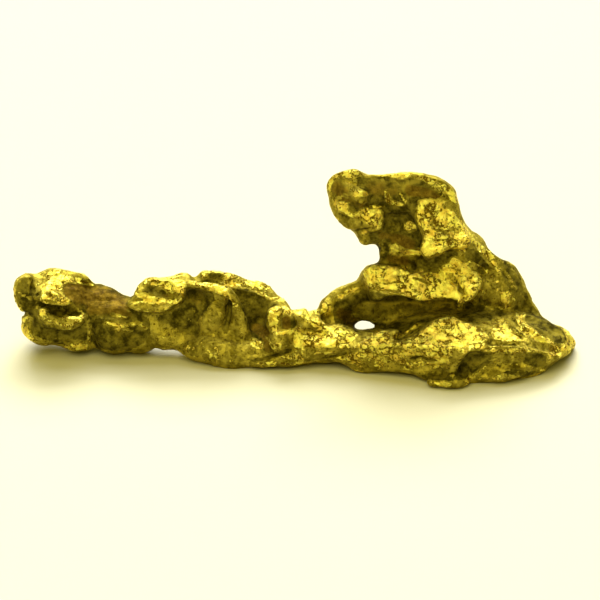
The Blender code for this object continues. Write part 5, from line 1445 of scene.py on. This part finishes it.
def shaped():
    """The nugget's skin in millimetres, without its finest relief."""
    mesh = fused(blocked_in(), SKIN_VOXEL, smoothings=1)
    draw_lines(mesh, LINES, on_show_side)
    draw_lines(mesh, FAR_LINES, on_far_side)
    knock_dents(mesh, DENTS, DENT_RADIUS, DENT_DEPTH, WEAR_SEED)
    move_out(mesh, grained(positions(mesh), BROAD_GRAIN))
    mesh = largest_shell(fused(mesh, SKIN_VOXEL))
    draw_lines(mesh, FINE_LINES, on_show_side)
    knock_dents(mesh, SCARS, SCAR_RADIUS, SCAR_DEPTH, WEAR_SEED + 1)
    return mesh


def crinkle(mesh, wear_and_painted_light):
    """The finest relief of the skin: strong where it is rubbed, faint elsewhere."""
    points = positions(mesh)
    moved = grained(points, FINE_GRAIN)
    moved += sum(depth * (crumpled(points, size) - CRUMPLE_LEVEL) for size, depth in CRUMPLES)
    rubbed = np.clip((wear_and_painted_light - CRINKLE_FROM) / CRINKLE_SPAN, 0.0, 1.0)
    move_out(mesh, moved * (SMOOTHEST + (1.0 - SMOOTHEST) * rubbed))


def keep_on(mesh, name, values):
    """Stores one number for each point of the skin, where the finish can read it."""
    mesh.attributes.new(name, "FLOAT", "POINT").data.foreach_set("value", values.astype(np.float32))


def wear_by_shape(points, proud, openness, shares):
    """How far each point is rubbed by its shape and by chance alone."""
    by_relief, by_openness, by_chance, patch, start = shares
    chance = grain(points, patch, seed=PATCH_SEED)
    return by_relief * proud + by_openness * openness + by_chance * chance + start


def wear_and_painted_light_of(mesh):
    """How far each point is rubbed: over 0.4 it is bright, under -0.3 it keeps its dark stain. On the show
    side painted shade and painted fill light are drawn into it as well.
    """
    points = positions(mesh)
    proud = 0.5 * standing_proud(mesh, CLOSE_ROUNDS) + 0.5 * standing_proud(mesh, BROAD_ROUNDS)
    openness = open_to_wear(mesh) - USUAL_OPENNESS
    natural = wear_by_shape(points, proud, openness, NATURAL_WEAR)
    shown = wear_by_shape(points, proud, openness, SHOWN_WEAR)
    seen = in_sight(mesh)
    # the drawn faces and strokes bring in painted shade and painted fill light as well as wear and stain
    rubbed, strokes = faces_on(mesh, seen, RUBBED_FACES), strokes_on(mesh, RUBBED_AND_FILL_LIGHT)
    stain_and_painted_light = strokes_on(mesh, SHADES) - FACE_STAIN_AND_SHADE * faces_on(mesh, seen, STAINED_AND_SHADED_FACES)
    shown += FACE_RUB * rubbed + strokes + stain_and_painted_light * (1.0 - rubbed) * (1.0 - np.clip(strokes, 0.0, 1.0))
    share = averaged(seen.astype(float)[:, None], edges_of(mesh), BLENDED_ROUNDS)[:, 0]
    return np.clip(share * shown + (1.0 - share) * natural, -MOST_WEAR, MOST_WEAR)


def rust_of(mesh):
    """How far each point's stain is rust brown, on the show side where it is drawn, elsewhere by chance."""
    patch, seed, amount = CHANCE_RUST
    return np.clip(strokes_on(mesh, BROWN) + amount * grain(positions(mesh), patch, seed), *RUST_LIMITS)


def linear(hex_colour):
    """An sRGB hex colour such as #C8A028 as linear red, green, blue and alpha."""
    parts = [int(hex_colour[i:i + 2], 16) / 255.0 for i in (1, 3, 5)]
    return (*(c / 12.92 if c <= 0.04045 else ((c + 0.055) / 1.055) ** 2.4 for c in parts), 1.0)


def new_material(name):
    material = bpy.data.materials.new(name)
    material.use_nodes = True
    return material, material.node_tree, material.node_tree.nodes["Principled BSDF"]


def add_node(tree, kind, settings, links):
    """A node with its settings and links. A setting is a property's name, or a socket's name or number;
    links gives the output that feeds each linked socket."""
    made = tree.nodes.new(kind)
    for name, value in settings.items():
        if isinstance(name, str) and hasattr(made, name):
            setattr(made, name, value)
        else:
            made.inputs[name].default_value = value
    for name, output in links.items():
        tree.links.new(output, made.inputs[name])
    return made


def river_gold():
    """Native gold, tumbled in a river bed. Pebbles have rubbed its high places to bright metal, with fine
    broken seams and pits in it. The rest keeps a dull olive skin. The hollows hold dark olive stain and a
    rust-brown iron film in places. Deepest in, the long hollow is painted a paler colour, as dried silt,
    that
    stands in for the light its shade lacks: painted fill light. The same colour lightens the stain on the
    beak, the crown and the shoulder. These films hide part of the metal under them, so stained skin is only
    partly metallic and its glints are dim."""
    material, tree, shader = new_material("river_worn_native_gold")
    at = add_node(tree, "ShaderNodeTexCoord", {}, {}).outputs["Object"]
    wear_and_painted_light, brown, silt_and_fill_light, proud = (
        add_node(tree, "ShaderNodeAttribute", {"attribute_name": name}, {}).outputs["Fac"]
        for name in ("wear_and_painted_light", "brown", "silt_and_fill_light", "proud")
    )

    def pattern(size_mm, detail, roughness):
        settings = {"Scale": GRAINS_PER_METRE / size_mm, "Detail": detail, "Roughness": roughness}
        return add_node(tree, "ShaderNodeTexNoise", settings, {"Vector": at}).outputs["Fac"]

    def between(value, low, high, to_low=0.0, to_high=1.0):
        settings = {"interpolation_type": "SMOOTHSTEP", "From Min": low, "From Max": high,
                    "To Min": to_low, "To Max": to_high}
        return add_node(tree, "ShaderNodeMapRange", settings, {"Value": value}).outputs["Result"]

    def worked_out(operation, settings, links):
        return add_node(tree, "ShaderNodeMath", {"operation": operation, **settings}, links).outputs["Value"]

    def sum_of(first, second, times):
        """first + second x times."""
        return worked_out("MULTIPLY_ADD", {1: times}, {0: second, 2: first})

    def blend(share, low, high):
        """Colours or outputs: the low one where share is 0, the high one where it is 1."""
        settings, links = {"data_type": "RGBA"}, {"Factor": share}
        for socket, colour in ((6, low), (7, high)):
            if isinstance(colour, str):
                settings[socket] = linear(colour)
            else:
                links[socket] = colour
        return add_node(tree, "ShaderNodeMix", settings, links).outputs[2]

    def clouded(clouds, spread, low, high):
        """Two colours that run into each other in clouds."""
        return blend(between(pattern(*clouds), *spread), low, high)

    # the wear, with painted shade and fill light drawn into it, broken up by clouds and by a fine tooth,
    # tells rubbed metal, clean skin and stain apart
    patchy = sum_of(sum_of(wear_and_painted_light, proud, PROUD_ON_WEAR), pattern(*WEAR_CLOUDS), CLOUDS_ON_WEAR)
    patchy = sum_of(patchy, pattern(*FINE_TOOTH), TOOTH_ON_WEAR)
    bright = between(patchy, *RUBBED_FROM)
    clean = between(patchy, *CLEAN_FROM)

    rusty = between(sum_of(brown, pattern(*STAIN_CLOUDS), CLOUDS_ON_RUST), *RUST_FROM, 0.0, MOST_RUST)
    # the pale colour of dried silt, which in the long hollow is painted fill light for its shade
    silt_and_fill_share = between(sum_of(silt_and_fill_light, pattern(*SILT_AND_FILL_CLOUDS), CLOUDS_ON_SILT_AND_FILL), *SILT_AND_FILL_FROM)
    stain_and_painted_light = blend(silt_and_fill_share, clouded(STAIN_CLOUDS, STAIN_SPREAD, *OLIVE_STAIN_AND_SHADE), DRIED_SILT_AND_FILL_LIGHT)
    stain_and_painted_light = blend(rusty, stain_and_painted_light, clouded(RUST_CLOUDS, STAIN_SPREAD, *RUST_FILM))
    # the dull skin's colours also carry the painted fill light of the broad strokes on shaded faces
    dull_and_fill_light = clouded(SKIN_CLOUDS, SKIN_SPREAD, *DULL_SKIN_AND_FILL_LIGHT)
    dull_and_fill_light = clouded(SKIN_SPECKS, SPECK_SPREAD, DARK_SPECK, dull_and_fill_light)

    # thin broken seams run through the rubbed faces, with small pits between them
    seam = worked_out("SUBTRACT", {1: NOISE_MIDDLE}, {0: pattern(*SEAM_LINES)})
    seam = sum_of(worked_out("ABSOLUTE", {}, {0: seam}), pattern(*SEAM_BREAKS), BREAKS_ON_SEAMS)
    pits = sum_of(pattern(*PITS), pattern(*PIT_GROUPS), GROUPS_ON_PITS)
    clear = worked_out("MULTIPLY", {}, {0: between(seam, *BESIDE_SEAMS), 1: between(pits, *BETWEEN_PITS)})
    rubbed = blend(clear, PITTED_METAL, clouded(METAL_CLOUDS, METAL_SPREAD, *RUBBED_METAL))

    metal = sum_of(between(patchy, *METAL_FROM, STAINED_METAL, 1.0), silt_and_fill_share, SILT_AND_FILL_ON_METAL)
    rough = sum_of(between(bright, 0.0, 1.0, *ROUGHNESS), pattern(*GLOSS_CLOUDS), CLOUDS_ON_GLOSS)
    relief = sum_of(pattern(*TOOTH), pattern(*FINE_TOOTH), FINE_ON_TOOTH)
    relief = sum_of(relief, clear, SEAMS_ON_TOOTH)
    relief = worked_out("MULTIPLY", {}, {0: relief, 1: between(bright, 0.0, 1.0, *RELIEF_SHARE)})
    bump = add_node(tree, "ShaderNodeBump", {"Strength": 1.0, "Distance": RELIEF_METRES}, {"Height": relief})

    for socket, output in (
        ("Base Color", blend(bright, blend(clean, stain_and_painted_light, dull_and_fill_light), rubbed)),
        ("Metallic", metal),
        ("Specular Tint", blend(clean, *GLINT)),
        ("Roughness", rough),
        ("Normal", bump.outputs["Normal"]),
    ):
        tree.links.new(output, shader.inputs[socket])
    shader.inputs["Specular IOR Level"].default_value = FAINT_GLOSS
    return material


def cream_paper():
    """Cream paper under a strong lamp: matt."""
    material, _, shader = new_material("cream_paper_floor")
    shader.inputs["Base Color"].default_value = linear(PAPER)
    shader.inputs["Roughness"].default_value = PAPER_ROUGHNESS
    shader.inputs["Specular IOR Level"].default_value = PAPER_GLOSS
    return material


def lay_floor():
    corners = [(x * FLOOR_HALF, y * FLOOR_HALF, 0) for x, y in ((-1, -1), (1, -1), (1, 1), (-1, 1))]
    mesh = bpy.data.meshes.new("floor")
    mesh.from_pydata(corners, [], [(0, 1, 2, 3)])
    mesh.materials.append(cream_paper())
    floor = in_scene("floor", mesh)


def turned_to(placed, heading):
    """Points a lamp or the camera back along the heading that it stands on."""
    placed.rotation_mode = "QUATERNION"
    placed.rotation_quaternion = (-heading).to_track_quat("-Z", "Y")


def hang_light(name, azimuth, height, distance, size, power, colour):
    """A square soft box that looks at the nugget. An azimuth of 0 is in front, and 90 is on the right."""
    lamp = bpy.data.lights.new(name, "AREA")
    lamp.size = size
    lamp.energy = power
    lamp.color = linear(colour)[:3]
    light = in_scene(name, lamp)
    turn, lift = math.radians(azimuth), math.radians(height)
    heading = Vector((math.sin(turn) * math.cos(lift), -math.cos(turn) * math.cos(lift), math.sin(lift)))
    light.location = heading * distance
    turned_to(light, heading)


def light_studio():
    world = bpy.data.worlds.new("studio")
    bpy.context.scene.world = world
    world.use_nodes = True
    background = world.node_tree.nodes["Background"]
    background.inputs["Color"].default_value = linear(ROOM)
    background.inputs["Strength"].default_value = ROOM_STRENGTH
    for lamp in LAMPS:
        hang_light(*lamp)


def set_camera():
    """A long lens far off, so that the view is nearly parallel."""
    lens = bpy.data.cameras.new("camera")
    lens.lens = LENS
    lens.sensor_width = SENSOR
    lens.clip_start, lens.clip_end = CLIP_METRES
    camera = in_scene("camera", lens)
    aim = (place(*AIM, 0.0) - FOOTPRINT_MIDDLE) * METRES_PER_MM
    camera.location = aim - SIGHT * (FRAME_WIDTH * METRES_PER_MM * LENS / SENSOR)
    turned_to(camera, -SIGHT)
    bpy.context.scene.camera = camera


def make_nugget():
    noise.seed_set(CREASE_SEED)
    mesh = shaped()
    wear_and_painted_light, brown, silt_and_fill_light = wear_and_painted_light_of(mesh), rust_of(mesh), strokes_on(mesh, SILT_AND_FILL_LIGHT)
    crinkle(mesh, wear_and_painted_light)
    for vertex in mesh.vertices:
        vertex.co.z = max(vertex.co.z, 0.0)
    keep_on(mesh, "wear_and_painted_light", wear_and_painted_light)
    keep_on(mesh, "brown", brown)
    keep_on(mesh, "silt_and_fill_light", silt_and_fill_light)
    keep_on(mesh, "proud", standing_proud(mesh, FINE_ROUNDS))
    mesh.transform(Matrix.Scale(METRES_PER_MM, 4) @ Matrix.Translation(-FOOTPRINT_MIDDLE))
    mesh.shade_smooth()
    mesh.materials.append(river_gold())
    skin = in_scene("nugget_skin", mesh)
    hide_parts("nugget")
    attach(skin, "root")


make_nugget()
lay_floor()
light_studio()
set_camera()
bpy.context.scene.view_settings.view_transform = "Standard"
